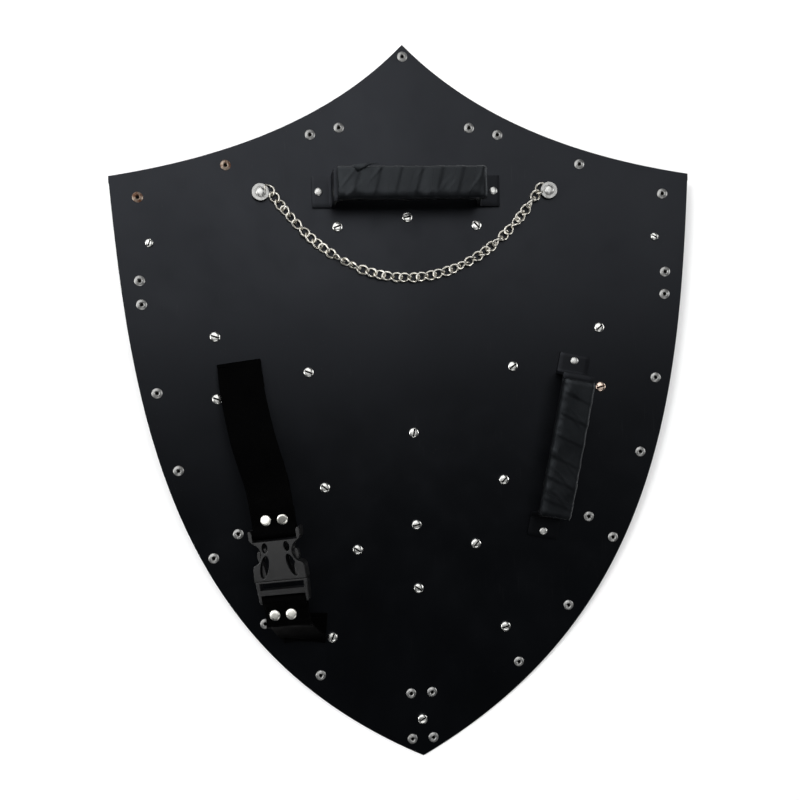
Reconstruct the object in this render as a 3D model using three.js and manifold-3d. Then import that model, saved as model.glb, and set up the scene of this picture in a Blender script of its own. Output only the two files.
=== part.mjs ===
// Heater shield, built from its inner side: a bent steel plate with two wrapped grips,
// a webbing arm strap with a side-release buckle, a hanging chain and its fasteners.
// Millimetres. The shield lies on its front: +Z up out of its inner side, +Y to its peak.
import * as THREE from "three";
import { mergeVertices } from "three/addons/utils/BufferGeometryUtils.js";
import Module from "manifold-3d";

// ---- plate
const HALF_HEIGHT = 350;
const HALF_WIDTH = 277.5;
const SHOULDER_Y = 218.5;
const SHEET = 1.6;
const CENTRE_FLAT = 28; // half width of the flat strip down the middle
const BEND_RADIUS = 1320; // the sides are rolled to this radius
const CORNER_FLAT = 6;
const COLUMNS = 26; // facets from the middle to each shoulder
const GAP = 0.3; // clearance between pieces that touch
const FLUSH = 0.2; // the fasteners' ends lie this far inside the front face

// ---- fasteners
const SCREW = { shank: 2.4, head: 4.9, rise: 2.9, slot: 1.4, sides: 10 };
const SMALL_SCREW = { shank: 1.9, head: 3.9, rise: 2.3, slot: 1.1, sides: 10 };
const GRIP_BOLT = { shank: 1.9, head: 3.8, rise: 2.0, slot: 0, sides: 10 };
const CHAIN_BOLT = { shank: 1.9, head: 4.4, rise: 2.6, slot: 0, sides: 10 };
const CHAIN_WASHER = { bore: 2.4, radius: 8.2, thickness: 1.5 };
const STRAP_RIVET = { shank: 1.6, head: 5.1, rise: 1.6, sides: 10 };

// Slotted screws in pairs either side of the middle, and those on the middle line.
const SCREW_PAIRS = {
  under_grip: [68.5, 174],
  flank_high: [188, 70],
  inner_high: [101, 34],
  flank_low: [188, 11],
  inner_mid: [89, -78.5],
  inner_low: [59, -141],
  lower: [86.5, -225.5],
};
const SCREWS_ON_CENTRE = { top: 182.5, heart: -28.5, belly: -119.5, low: -182.5, tip: -313 };
const SHOULDER_SCREWS = [244, 158];
const CHAIN_ANCHOR = [141.5, 206.5];

// ---- grips: flat bar bent to a bracket, its span wrapped in tape
const BAR = { width: 30, thickness: 3, bend: 8, legs: 72, ends: 92, top: 42 };
const GRIP_BOLT_AT = 86;
const WRAP = { half: 64, width: 32.6, thickness: 9.6, corner: 3.2 };
const TOP_GRIP_Y = 207;
const SIDE_GRIP_HIGH_BOLT = [162, 36];
const SIDE_GRIP_LOW_BOLT = [127, -129.5];
const SIDE_GRIP_LIFT = 0.3; // its flat feet stand this far off the bent plate

// ---- arm strap and buckle
const WEBBING = { width: 41, thickness: 1.8 };
const STRAP_TOP = { x: -167, y: 46, turn: 7 };
const STRAP_FOOT = { x: -114, y: -226, turn: -6 };
const STRAP_TAB = 27;
const UPPER_FREE = [[-163.5, 20, 24], [-154, -25, 46], [-142, -68, 56]]; // where the webbing hangs free
const LOWER_FREE = [[-119.5, -212, 24], [-125.5, -199, 43]];
const TURN_RUN = [23, 17, 8]; // the webbing's layers beside a buckle bar, measured from the bar
const LAYER = 1.1; // half the distance between the middles of two layers
const RIVET_BACK = 0.8; // thickness of a rivet's back washer
const BUCKLE = { x: -131, y: -152.5, height: 55, turn: 6.5, tilt: 18, thickness: 11 };
const BUCKLE_BAR = { v: 42.2, half: 1.6 };
const LADDER_BAR = { v: -18.8, half: 1.6 };
const RIVET_SPACING = 15.5;
const UPPER_RIVETS = { u: 1.5, v: 55 };
const LOWER_RIVETS = { u: -3.5, v: -31.5 };

// ---- chain
const LINK = { length: 12.4, width: 9.4, wire: 2.1, pitch: 8.3, twist: 34, reach: 1.2 };
const CHAIN_SAG = 84;

const finishes = {
  blackSteel: new THREE.MeshStandardMaterial({ color: 0x1c1d20, roughness: 0.4, metalness: 0.1 }),
  blackTape: new THREE.MeshStandardMaterial({ color: 0x16171a, roughness: 0.55, metalness: 0 }),
  webbing: new THREE.MeshStandardMaterial({ color: 0x0a0a0b, roughness: 0.9, metalness: 0 }),
  plastic: new THREE.MeshStandardMaterial({ color: 0x1b1b1d, roughness: 0.5, metalness: 0 }),
  zinc: new THREE.MeshStandardMaterial({ color: 0xb9bab8, roughness: 0.35, metalness: 1 }),
  nickel: new THREE.MeshStandardMaterial({ color: 0xc9c4b4, roughness: 0.25, metalness: 1 }),
};

const shield = new THREE.Group();

function addPiece(name, geometry, material, parent = shield) {
  const piece = new THREE.Mesh(geometry, material);
  piece.name = name;
  parent.add(piece);
  return piece;
}

// ---- solid joins and cuts
const wasm = await Module();
wasm.setup();

function toSolid(geometry) {
  const bare = geometry.clone();
  bare.deleteAttribute("normal");
  bare.deleteAttribute("uv");
  const merged = mergeVertices(bare, 1e-4);
  const vertProperties = new Float32Array(merged.attributes.position.array);
  const triVerts = new Uint32Array(merged.index.array);
  return new wasm.Manifold(new wasm.Mesh({ numProp: 3, vertProperties, triVerts }));
}

function toGeometry(solid) {
  const { vertProperties, triVerts } = solid.getMesh();
  const geometry = new THREE.BufferGeometry();
  geometry.setAttribute("position", new THREE.BufferAttribute(new Float32Array(vertProperties), 3));
  geometry.setIndex(new THREE.BufferAttribute(new Uint32Array(triVerts), 1));
  geometry.computeVertexNormals();
  return geometry;
}

function cut(geometry, cutters) {
  return toGeometry(cutters.reduce((solid, cutter) => solid.subtract(toSolid(cutter)), toSolid(geometry)));
}

function join(geometries) {
  return toGeometry(geometries.map(toSolid).reduce((sum, solid) => sum.add(solid)));
}

// A turned solid about +Z from [radius, height] pairs that start and end on the axis.
function turned(profile, sides) {
  const points = profile.map(([r, z]) => new THREE.Vector2(r, z));
  return new THREE.LatheGeometry(points, sides).rotateX(Math.PI / 2);
}

function drill(radius, low, high) {
  return new THREE.CylinderGeometry(radius, radius, high - low, 10)
    .rotateX(Math.PI / 2)
    .translate(0, 0, (high + low) / 2);
}

// ---- the bent plate surface
function bendHeight(x) {
  const reach = Math.max(0, Math.abs(x) - CENTRE_FLAT);
  return BEND_RADIUS - Math.sqrt(BEND_RADIUS ** 2 - reach ** 2);
}

function bendAngle(x) {
  return Math.sign(x) * Math.asin(Math.max(0, Math.abs(x) - CENTRE_FLAT) / BEND_RADIUS);
}

// The frame on the plate's inner face at x, y: local Z is the face's normal.
function seat(object, x, y, turn = 0) {
  object.position.set(x, y, bendHeight(x) + SHEET);
  object.rotation.set(0, -bendAngle(x), turn, "YXZ");
  object.updateMatrix();
  return object;
}

const v2 = (x, y) => new THREE.Vector2(x, y);
const topEdge = new THREE.CubicBezierCurve(
  v2(0, HALF_HEIGHT), v2(65, 284), v2(163.5, 242), v2(HALF_WIDTH, SHOULDER_Y));
const sideEdge = new THREE.CubicBezierCurve(
  v2(0, -HALF_HEIGHT), v2(245, -227.5), v2(265.5, 12), v2(HALF_WIDTH, SHOULDER_Y));

function topEdgeAt(x) {
  let low = 0;
  let high = 1;
  for (let step = 0; step < 40; step += 1) {
    const middle = (low + high) / 2;
    if (topEdge.getPoint(middle).x < x) low = middle;
    else high = middle;
  }
  return topEdge.getPoint(low).y;
}

// One column of the plate for each step along the side edge, from the middle to a shoulder.
function plateColumn(step) {
  if (step === COLUMNS) return { x: HALF_WIDTH, top: SHOULDER_Y, bottom: SHOULDER_Y - CORNER_FLAT };
  const { x, y } = sideEdge.getPoint(step / COLUMNS);
  return { x, top: topEdgeAt(x), bottom: y };
}

function plateBlank() {
  const blank = new THREE.BoxGeometry(2 * COLUMNS, 1, 1, 2 * COLUMNS, 1, 1);
  const position = blank.attributes.position;
  for (let i = 0; i < position.count; i += 1) {
    const step = Math.round(position.getX(i));
    const column = plateColumn(Math.abs(step));
    const x = Math.sign(step) * column.x;
    const y = position.getY(i) > 0 ? column.top : column.bottom;
    const z = bendHeight(x) + (position.getZ(i) > 0 ? SHEET : 0);
    position.setXYZ(i, x, y, z);
  }
  return blank;
}

const plateCutters = [];

function drillPlate(x, y, shank) {
  const hole = seat(new THREE.Object3D(), x, y);
  plateCutters.push(drill(shank + GAP, -2 * SHEET, SHEET).applyMatrix4(hole.matrix));
}

// ---- fasteners: the shank ends flush in the front face, the head stands on what it clamps
function fastener(size, under) {
  const base = under + GAP;
  const body = turned([
    [0, FLUSH - SHEET],
    [size.shank, FLUSH - SHEET],
    [size.shank, base],
    [size.head, base],
    [size.head, base + 0.45 * size.rise],
    [0.72 * size.head, base + 0.9 * size.rise],
    [0, base + size.rise],
  ], size.sides);
  if (!size.slot) return body;
  const slot = new THREE.BoxGeometry(3 * size.head, size.slot, size.rise)
    .translate(0, 0, base + size.rise);
  return cut(body, [slot]);
}

function addFastener(name, size, x, y, { under = 0, turn = 0 } = {}) {
  drillPlate(x, y, size.shank);
  return seat(addPiece(name, fastener(size, under), finishes.zinc), x, y, turn);
}

const sides = { left: -1, right: 1 };
const SLOT_TURN = 2.4; // each slot stops at its own angle, this much further round in radians
let screwCount = 0;
const nextTurn = () => SLOT_TURN * (screwCount += 1);

for (const [place, [x, y]] of Object.entries(SCREW_PAIRS)) {
  for (const [side, sign] of Object.entries(sides)) {
    addFastener(`screw_${place}_${side}`, SCREW, sign * x, y, { turn: nextTurn() });
  }
}
for (const [place, y] of Object.entries(SCREWS_ON_CENTRE)) {
  addFastener(`screw_centre_${place}`, SCREW, 0, y, { turn: nextTurn() });
}
for (const [side, sign] of Object.entries(sides)) {
  const [x, y] = SHOULDER_SCREWS;
  addFastener(`screw_shoulder_${side}`, SMALL_SCREW, sign * x, y, { turn: nextTurn() });
}

// ---- chain: washers, bolts and curb links on a hanging curve
const washerRing = turned([[CHAIN_WASHER.bore, 0], [CHAIN_WASHER.radius, 0],
  [CHAIN_WASHER.radius, CHAIN_WASHER.thickness], [CHAIN_WASHER.bore, CHAIN_WASHER.thickness],
  [CHAIN_WASHER.bore, 0]], 16);
const washerLift = LINK.wire + 2 * GAP;
for (const [side, sign] of Object.entries(sides)) {
  const [x, y] = CHAIN_ANCHOR;
  const washer = addPiece(`chain_washer_${side}`, washerRing.clone().translate(0, 0, washerLift + GAP),
    finishes.zinc);
  seat(washer, sign * x, y);
  addFastener(`chain_bolt_${side}`, CHAIN_BOLT, sign * x, y,
    { under: washerLift + GAP + CHAIN_WASHER.thickness });
}

// Height of a hanging chain over its lowest point, as a fraction of its sag.
const HANG = 1.55;
const hang = (u) => (Math.cosh(HANG * u) - 1) / (Math.cosh(HANG) - 1);

function chainPoint(u) {
  const [x, y] = CHAIN_ANCHOR;
  return v2(u * x, y - CHAIN_SAG * (1 - hang(u)));
}

// Link centres along the route: the first and last links go round the anchor bolts.
function chainStations() {
  const route = new THREE.SplineCurve(Array.from({ length: 41 }, (_, i) => chainPoint(i / 20 - 1)));
  const length = route.getLength();
  const steps = Math.round((length - 2 * LINK.reach) / LINK.pitch);
  return Array.from({ length: steps + 1 }, (_, i) => {
    const share = (LINK.reach + (length - 2 * LINK.reach) * (i / steps)) / length;
    const fromEnd = Math.min(i, steps - i);
    const side = i % 2 ? 1 : -1;
    return {
      point: route.getPointAt(share),
      along: route.getTangentAt(share),
      twist: side * THREE.MathUtils.degToRad(LINK.twist) * Math.min(1, (fromEnd / 3) ** 2),
    };
  });
}

function chainLink({ point, along, twist }) {
  const ring = new THREE.TorusGeometry(1, 0.5, 3, 8);
  const position = ring.attributes.position;
  const half = v2((LINK.length - LINK.wire) / 2, (LINK.width - LINK.wire) / 2);
  for (let i = 0; i < position.count; i += 1) {
    const angle = Math.atan2(position.getY(i), position.getX(i));
    const out = Math.hypot(position.getX(i), position.getY(i)) - 1;
    position.setXYZ(i, Math.cos(angle) * (half.x + out * LINK.wire),
      Math.sin(angle) * (half.y + out * LINK.wire), position.getZ(i) * LINK.wire);
  }
  const lift = (LINK.width * Math.sin(Math.abs(twist)) + LINK.wire) / 2 + GAP;
  ring.rotateX(twist).rotateZ(Math.atan2(along.y, along.x)).translate(0, 0, lift);
  return ring.applyMatrix4(seat(new THREE.Object3D(), point.x, point.y).matrix);
}

const links = chainStations().map(chainLink);
addPiece("chain", join(links), finishes.nickel);

// ---- grips
function barOutline(footRise) {
  const { thickness, bend, legs, ends, top } = BAR;
  const inner = bend - thickness;
  const outline = new THREE.Shape();
  const [near, far] = footRise;
  outline.moveTo(-ends, far + GAP);
  outline.lineTo(-legs + thickness, near + GAP);
  outline.lineTo(-legs + thickness, top - bend);
  outline.absarc(-legs + bend, top - bend, inner, Math.PI, Math.PI / 2, true);
  outline.absarc(legs - bend, top - bend, inner, Math.PI / 2, 0, true);
  outline.lineTo(legs - thickness, near + GAP);
  outline.lineTo(ends, far + GAP);
  outline.lineTo(ends, far + GAP + thickness);
  outline.lineTo(legs, near + GAP + thickness);
  outline.absarc(legs - bend, top - bend, bend, 0, Math.PI / 2, false);
  outline.absarc(-legs + bend, top - bend, bend, Math.PI / 2, Math.PI, false);
  outline.lineTo(-legs, near + GAP + thickness);
  outline.lineTo(-ends, far + GAP + thickness);
  return outline;
}

function roundedRectangle(width, height, corner) {
  const x = width / 2 - corner;
  const y = height / 2 - corner;
  const outline = new THREE.Shape();
  outline.absarc(x, y, corner, 0, Math.PI / 2, false);
  outline.absarc(-x, y, corner, Math.PI / 2, Math.PI, false);
  outline.absarc(-x, -y, corner, Math.PI, 1.5 * Math.PI, false);
  outline.absarc(x, -y, corner, 1.5 * Math.PI, 2 * Math.PI, false);
  return outline;
}

function wrapTube() {
  const section = roundedRectangle(WRAP.width, WRAP.thickness, WRAP.corner);
  section.holes.push(roundedRectangle(BAR.width + 2 * GAP, BAR.thickness + 2 * GAP, GAP));
  return new THREE.ExtrudeGeometry(section, { depth: 2 * WRAP.half, bevelEnabled: false, curveSegments: 3 })
    .translate(0, 0, -WRAP.half)
    .rotateZ(Math.PI / 2)
    .rotateY(Math.PI / 2);
}

// A grip in its own frame: X along the bar, Y across it, Z out of the plate.
function addGrip(name, frame, footRise) {
  shield.add(frame);
  const bracket = new THREE.ExtrudeGeometry(barOutline(footRise),
    { depth: BAR.width, bevelEnabled: false, curveSegments: 5 })
    .translate(0, 0, -BAR.width / 2)
    .rotateX(Math.PI / 2);
  const boltHoles = [-GRIP_BOLT_AT, GRIP_BOLT_AT].map((x) =>
    drill(GRIP_BOLT.shank + GAP, -SHEET, 4 * BAR.thickness).translate(x, 0, 0));
  addPiece(`${name}_bracket`, cut(bracket, boltHoles), finishes.blackSteel, frame);
  const wrap = addPiece(`${name}_wrap`, wrapTube(), finishes.blackTape, frame);
  wrap.position.z = BAR.top - BAR.thickness / 2;
}

const topGripFrame = new THREE.Group();
topGripFrame.position.set(0, TOP_GRIP_Y, SHEET);
addGrip("top_grip", topGripFrame, [bendHeight(BAR.legs), bendHeight(BAR.ends)]);
for (const [side, sign] of Object.entries(sides)) {
  addFastener(`top_grip_bolt_${side}`, GRIP_BOLT, sign * GRIP_BOLT_AT, TOP_GRIP_Y,
    { under: BAR.thickness + GAP });
}

function frameFrom(origin, across, outward) {
  const normal = outward.clone().normalize();
  const first = across.clone().addScaledVector(normal, -across.dot(normal)).normalize();
  const second = new THREE.Vector3().crossVectors(normal, first);
  const frame = new THREE.Group();
  frame.position.copy(origin);
  frame.quaternion.setFromRotationMatrix(new THREE.Matrix4().makeBasis(first, second, normal));
  frame.updateMatrix();
  return frame;
}

function plateNormal(x) {
  return new THREE.Vector3(-Math.sin(bendAngle(x)), 0, Math.cos(bendAngle(x)));
}

function platePoint(x, y) {
  return new THREE.Vector3(x, y, bendHeight(x) + SHEET);
}

const highBolt = platePoint(...SIDE_GRIP_HIGH_BOLT);
const lowBolt = platePoint(...SIDE_GRIP_LOW_BOLT);
const sideGripMiddle = highBolt.clone().add(lowBolt).divideScalar(2);
const sideGripFrame = frameFrom(sideGripMiddle, lowBolt.clone().sub(highBolt),
  plateNormal(sideGripMiddle.x));
addGrip("side_grip", sideGripFrame, [SIDE_GRIP_LIFT, SIDE_GRIP_LIFT]);
for (const [end, sign] of [["high", -1], ["low", 1]]) {
  const at = new THREE.Vector3(sign * GRIP_BOLT_AT, 0, 0).applyMatrix4(sideGripFrame.matrix);
  addFastener(`side_grip_bolt_${end}`, GRIP_BOLT, at.x, at.y,
    { under: BAR.thickness + GAP + SIDE_GRIP_LIFT });
}

// ---- arm strap: webbing laid out as stations, each a point with the direction across it
function ribbon(stations, width, thickness) {
  const strip = new THREE.BoxGeometry(1, 1, stations.length - 1, 1, 1, stations.length - 1);
  const position = strip.attributes.position;
  for (let i = 0; i < position.count; i += 1) {
    const index = Math.round(position.getZ(i) + (stations.length - 1) / 2);
    const { point, across } = stations[index];
    const before = stations[Math.max(0, index - 1)].point;
    const after = stations[Math.min(stations.length - 1, index + 1)].point;
    const along = after.clone().sub(before).normalize();
    const side = across.clone().addScaledVector(along, -across.dot(along)).normalize();
    const face = new THREE.Vector3().crossVectors(along, side);
    const place = point.clone()
      .addScaledVector(side, position.getX(i) * width)
      .addScaledVector(face, position.getY(i) * thickness);
    position.setXYZ(i, place.x, place.y, place.z);
  }
  return strip;
}

// Points [v, w] in a frame's own YZ plane, as stations across the frame's X.
function stationsIn(frame, path) {
  const across = new THREE.Vector3(1, 0, 0).applyQuaternion(frame.quaternion);
  return path.map(([v, w]) => ({ point: new THREE.Vector3(0, v, w).applyMatrix4(frame.matrix), across }));
}

// A half turn about [v, w], from start to end degrees.
function halfTurn(v, w, radius, start, end) {
  return Array.from({ length: 7 }, (_, i) => {
    const angle = THREE.MathUtils.degToRad(start + (end - start) * (i / 6));
    return [v + radius * Math.cos(angle), w + radius * Math.sin(angle)];
  });
}

function smoothStations(stations, steps) {
  const curve = new THREE.CatmullRomCurve3(stations.map(({ point }) => point), false, "centripetal");
  return Array.from({ length: (stations.length - 1) * steps + 1 }, (_, i) => {
    const place = i / steps;
    const index = Math.min(stations.length - 2, Math.floor(place));
    const across = stations[index].across.clone().lerp(stations[index + 1].across, place - index);
    return { point: curve.getPoint(place / (stations.length - 1)), across };
  });
}

function turnedFrame({ x, y, turn }, direction) {
  const angle = THREE.MathUtils.degToRad(turn);
  const across = new THREE.Vector3(direction * Math.cos(angle), direction * Math.sin(angle), 0);
  return frameFrom(platePoint(x, y), across, plateNormal(x));
}

// The strap's end is folded under and lies on the plate; local Y points out over the fold.
const FOLD_RADIUS = 2.6;
const tabHeight = 3 * GAP + WEBBING.thickness / 2;
const foldCentre = -FOLD_RADIUS - WEBBING.thickness / 2;
const anchorPath = [
  [-STRAP_TAB, tabHeight],
  [-STRAP_TAB / 2, tabHeight],
  [foldCentre - FOLD_RADIUS, tabHeight],
  ...halfTurn(foldCentre, tabHeight + FOLD_RADIUS, FOLD_RADIUS, -90, 90),
];

const buckleFrame = (() => {
  const turn = THREE.MathUtils.degToRad(BUCKLE.turn);
  const tilt = THREE.MathUtils.degToRad(BUCKLE.tilt);
  const up = new THREE.Vector3(-Math.sin(turn), Math.cos(turn), 0);
  const across = new THREE.Vector3(Math.cos(turn) * Math.cos(tilt), Math.sin(turn) * Math.cos(tilt),
    Math.sin(tilt));
  const origin = platePoint(BUCKLE.x, BUCKLE.y);
  origin.z += BUCKLE.height;
  return frameFrom(origin, across, new THREE.Vector3().crossVectors(across, up));
})();

// The webbing's turn round a buckle bar: it comes in over the bar and its tail goes back under.
function barTurn(bar, direction) {
  const radius = Math.SQRT2 * bar.half + WEBBING.thickness / 2 + 1.5 * GAP;
  const place = (distance) => bar.v + direction * distance;
  const arc = halfTurn(0, 0, radius, 90, 270).map(([d, w]) => [place(d), w]);
  const run = TURN_RUN.map(place);
  return [
    ...run.map((v) => [v, LAYER]),
    ...arc,
    ...run.reverse().map((v) => [v, -LAYER]),
  ];
}

const topAnchor = turnedFrame(STRAP_TOP, 1);
const footAnchor = turnedFrame(STRAP_FOOT, -1);
const acrossAt = (frame) => new THREE.Vector3(1, 0, 0).applyQuaternion(frame.quaternion);
const flipped = (stations) => stations.map(({ point, across }) => ({ point, across: across.clone().negate() }));

// The free points, their width turning from one direction towards the buckle's by these shares.
function freeStations(points, from, shares) {
  const towards = acrossAt(buckleFrame);
  return points.map((place, i) => ({ point: new THREE.Vector3(...place), across: from.clone().lerp(towards, shares[i]) }));
}

const upperStations = [
  ...stationsIn(topAnchor, anchorPath),
  ...freeStations(UPPER_FREE, acrossAt(topAnchor), [0, 0.4, 0.85]),
  ...stationsIn(buckleFrame, barTurn(BUCKLE_BAR, 1)),
];
const lowerStations = [
  ...flipped(stationsIn(footAnchor, anchorPath)),
  ...freeStations(LOWER_FREE, acrossAt(footAnchor).negate(), [0.3, 0.6]),
  ...stationsIn(buckleFrame, barTurn(LADDER_BAR, -1)),
];

function addStrap(name, stations, rivets) {
  const webbing = ribbon(smoothStations(stations, 2), WEBBING.width, WEBBING.thickness);
  const places = [-0.5, 0.5].map((side) => v2(rivets.u + side * RIVET_SPACING, rivets.v));
  const holes = places.map(({ x, y }) =>
    drill(STRAP_RIVET.shank + GAP, -8, 8).translate(x, y, 0).applyMatrix4(buckleFrame.matrix));
  addPiece(name, cut(webbing, holes), finishes.webbing);
  places.forEach(({ x, y }, index) => {
    const high = LAYER + WEBBING.thickness / 2 + GAP;
    const { shank, head, rise, sides: count } = STRAP_RIVET;
    const rivet = turned([[0, -high - RIVET_BACK], [head, -high - RIVET_BACK], [head, -high], [shank, -high],
      [shank, high], [head, high], [0.8 * head, high + 0.7 * rise], [0, high + rise]], count);
    const piece = addPiece(`${name}_rivet_${index + 1}`, rivet, finishes.nickel, buckleFrame);
    piece.position.set(x, y, 0);
  });
}

shield.add(buckleFrame);
addStrap("upper_strap", upperStations, UPPER_RIVETS);
addStrap("lower_strap", lowerStations, LOWER_RIVETS);

// ---- side-release buckle, in its own frame: Y up the strap, Z out, seam between halves at 0
function slab(outline, thickness, segments = 6) {
  return new THREE.ExtrudeGeometry(outline, { depth: thickness, bevelEnabled: false, curveSegments: segments })
    .translate(0, 0, -thickness / 2);
}

function mirrored(drawHalf) {
  const outline = new THREE.Shape();
  const half = new THREE.Path();
  drawHalf(half);
  const points = half.getPoints(5);
  outline.setFromPoints([...points, ...points.map(({ x, y }) => v2(-x, y)).reverse()]);
  return outline;
}

// Right-hand half of the socket's outline, from the middle of its mouth round to its webbing slot.
function socketHalf(path) {
  path.moveTo(0.01, GAP);
  path.lineTo(24.6, GAP);
  path.lineTo(24.2, 12);
  path.quadraticCurveTo(23.6, 15.5, 20.5, 16);
  path.quadraticCurveTo(14.5, 17.5, 13.4, 24.5);
  path.quadraticCurveTo(13.2, 31, 19.5, 34.5);
  path.quadraticCurveTo(24, 36.5, 24.4, 40);
  path.lineTo(24.2, 47);
  path.lineTo(21.6, 46.5);
  path.lineTo(21.1, 44);
  path.lineTo(0.01, 44);
}

function ovalPath(x, y, across, along, lean) {
  const hole = new THREE.Path();
  hole.absellipse(x, y, across, along, 0, 2 * Math.PI, false, lean);
  return hole;
}

function socketGeometry() {
  const outline = mirrored(socketHalf);
  for (const sign of Object.values(sides)) {
    outline.holes.push(ovalPath(sign * 10, 30, 2.4, 3.6, sign * 0.12));
    outline.holes.push(ovalPath(sign * 12, 14, 2.8, 9, sign * 0.3));
  }
  const cavity = new THREE.BoxGeometry(37.4, 30, 6.4).translate(0, 14, 0);
  const webbingSlot = new THREE.BoxGeometry(42.2, 4, 20).translate(0, 38.5, 0);
  const barTop = new THREE.BoxGeometry(42.2, 8, 10);
  const barLevel = BUCKLE_BAR.half + 5;
  return cut(slab(outline, BUCKLE.thickness), [cavity, webbingSlot,
    barTop.clone().translate(0, 44.4, barLevel), barTop.clone().translate(0, 44.4, -barLevel)]);
}

// Right-hand half of the plug: ladder frame below the seam, then its sprung prong.
function prongHalf(path) {
  path.moveTo(0.01, -1);
  path.lineTo(18, -1);
  path.lineTo(17.6, 12);
  path.lineTo(18.2, 16.5);
  path.quadraticCurveTo(21.6, 22.5, 18.4, 27.5);
  path.lineTo(16, 27);
  path.quadraticCurveTo(17.4, 20, 14.2, 13);
  path.lineTo(13.6, 4);
  path.lineTo(3.4, 4);
  path.lineTo(3, 26);
  path.lineTo(0.01, 26);
}

function ladderHalf(path) {
  path.moveTo(0.01, 0);
  path.lineTo(24.6, 0);
  path.lineTo(23.2, -20.4);
  path.lineTo(0.01, -20.4);
}

function plugGeometry() {
  const frame = slab(mirrored(ladderHalf), 8);
  const highSlot = new THREE.BoxGeometry(42.2, 5.2, 20).translate(0, -5.3, 0);
  const lowSlot = new THREE.BoxGeometry(42.2, 4.5, 20).translate(0, -14.9, 0);
  const barTop = new THREE.BoxGeometry(42.2, 8, 10);
  const barLevel = LADDER_BAR.half + 5;
  const ladder = cut(frame, [highSlot, lowSlot,
    barTop.clone().translate(0, -20.4, barLevel), barTop.clone().translate(0, -20.4, -barLevel)]);
  return join([ladder, slab(mirrored(prongHalf), 5)]);
}

addPiece("buckle_socket", socketGeometry(), finishes.plastic, buckleFrame);
addPiece("buckle_plug", plugGeometry(), finishes.plastic, buckleFrame);

// ---- plate, drilled for every fastener
addPiece("plate", cut(plateBlank(), plateCutters), finishes.blackSteel);

export default shield;
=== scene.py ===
"""A heater shield lying on its front, seen from its inner side.

A bent steel plate carries two tape-wrapped grips, a webbing arm strap with a side-release
buckle, a hanging chain and its screws and rivets. Every piece is modelled here in metres,
in the frame of the shield's fixed model.
"""

import logging
import math
import random
from contextlib import contextmanager
from dataclasses import dataclass, field
from enum import Enum
from typing import Callable, Iterable, Iterator, Optional, Sequence, Union

import bmesh
import bpy
from mathutils import Matrix, Vector, noise


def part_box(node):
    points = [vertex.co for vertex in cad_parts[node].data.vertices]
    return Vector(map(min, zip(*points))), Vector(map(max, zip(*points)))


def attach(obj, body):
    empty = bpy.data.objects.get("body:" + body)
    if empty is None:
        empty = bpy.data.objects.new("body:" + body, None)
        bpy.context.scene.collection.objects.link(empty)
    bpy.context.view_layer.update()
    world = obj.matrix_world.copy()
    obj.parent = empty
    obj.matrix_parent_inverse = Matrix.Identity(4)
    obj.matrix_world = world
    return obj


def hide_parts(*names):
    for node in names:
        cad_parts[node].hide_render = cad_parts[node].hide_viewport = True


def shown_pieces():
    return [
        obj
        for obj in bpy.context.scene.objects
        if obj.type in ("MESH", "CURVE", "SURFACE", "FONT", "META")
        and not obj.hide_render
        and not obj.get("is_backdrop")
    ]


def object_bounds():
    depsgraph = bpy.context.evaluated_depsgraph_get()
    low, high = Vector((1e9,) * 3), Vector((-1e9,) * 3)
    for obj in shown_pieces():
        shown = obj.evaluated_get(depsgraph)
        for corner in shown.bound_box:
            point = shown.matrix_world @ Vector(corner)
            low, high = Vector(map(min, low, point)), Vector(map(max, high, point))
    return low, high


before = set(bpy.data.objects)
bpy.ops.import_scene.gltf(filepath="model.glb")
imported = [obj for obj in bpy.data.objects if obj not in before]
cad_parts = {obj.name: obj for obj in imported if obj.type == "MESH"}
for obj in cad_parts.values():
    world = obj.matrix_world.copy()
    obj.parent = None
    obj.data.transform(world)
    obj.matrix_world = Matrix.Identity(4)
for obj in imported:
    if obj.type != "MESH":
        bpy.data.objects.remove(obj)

Piece = bpy.types.Object
Socket = bpy.types.NodeSocket
Material = bpy.types.Material
Points = Sequence[tuple[float, float]]
Feed = Union[float, Sequence[float], Socket]
log = logging.getLogger("shield")
MM = 0.001
CAD_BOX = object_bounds()


class Slot(Enum):
    """The record's material slots."""

    PLATE = "plate_paint"
    GRIP = "grip_paint"
    TAPE = "grip_tape"
    WEBBING = "webbing"
    BUCKLE = "buckle_plastic"
    SCREW = "zinc_screws"
    BOLT = "grip_bolts"
    NICKEL = "nickel"


# ---------------------------------------------------------------- bench: modelling by operators


def only(piece: Piece) -> None:
    """Selects this piece and nothing else, in object mode.

    Args:
        piece: The object to work on.
    """
    if bpy.context.object and bpy.context.object.mode != "OBJECT":
        bpy.ops.object.mode_set(mode="OBJECT")
    bpy.ops.object.select_all(action="DESELECT")
    piece.select_set(True)
    bpy.context.view_layer.objects.active = piece


def bake_place() -> None:
    """Applies the selected objects' place, turn and scale to their meshes."""
    bpy.ops.object.transform_apply(location=True, rotation=True, scale=True)


@contextmanager
def editing(piece: Piece) -> Iterator[None]:
    """Works on a piece in edit mode, with all of it selected.

    Args:
        piece: The object to work on.
    """
    only(piece)
    bpy.ops.object.mode_set(mode="EDIT")
    bpy.ops.mesh.select_all(action="SELECT")
    yield
    bpy.ops.object.mode_set(mode="OBJECT")


def begin(primitive: Callable, name: str, **sizes) -> Piece:
    """Adds a primitive with nothing else selected.

    Args:
        primitive: The operator that adds it.
        name: The new object's name.
        sizes: The operator's own sizes, in metres.

    Returns:
        The new object.
    """
    bpy.ops.object.select_all(action="DESELECT")
    primitive(**sizes)
    piece = bpy.context.object
    piece.name = name
    piece.data.name = name
    return piece


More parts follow.
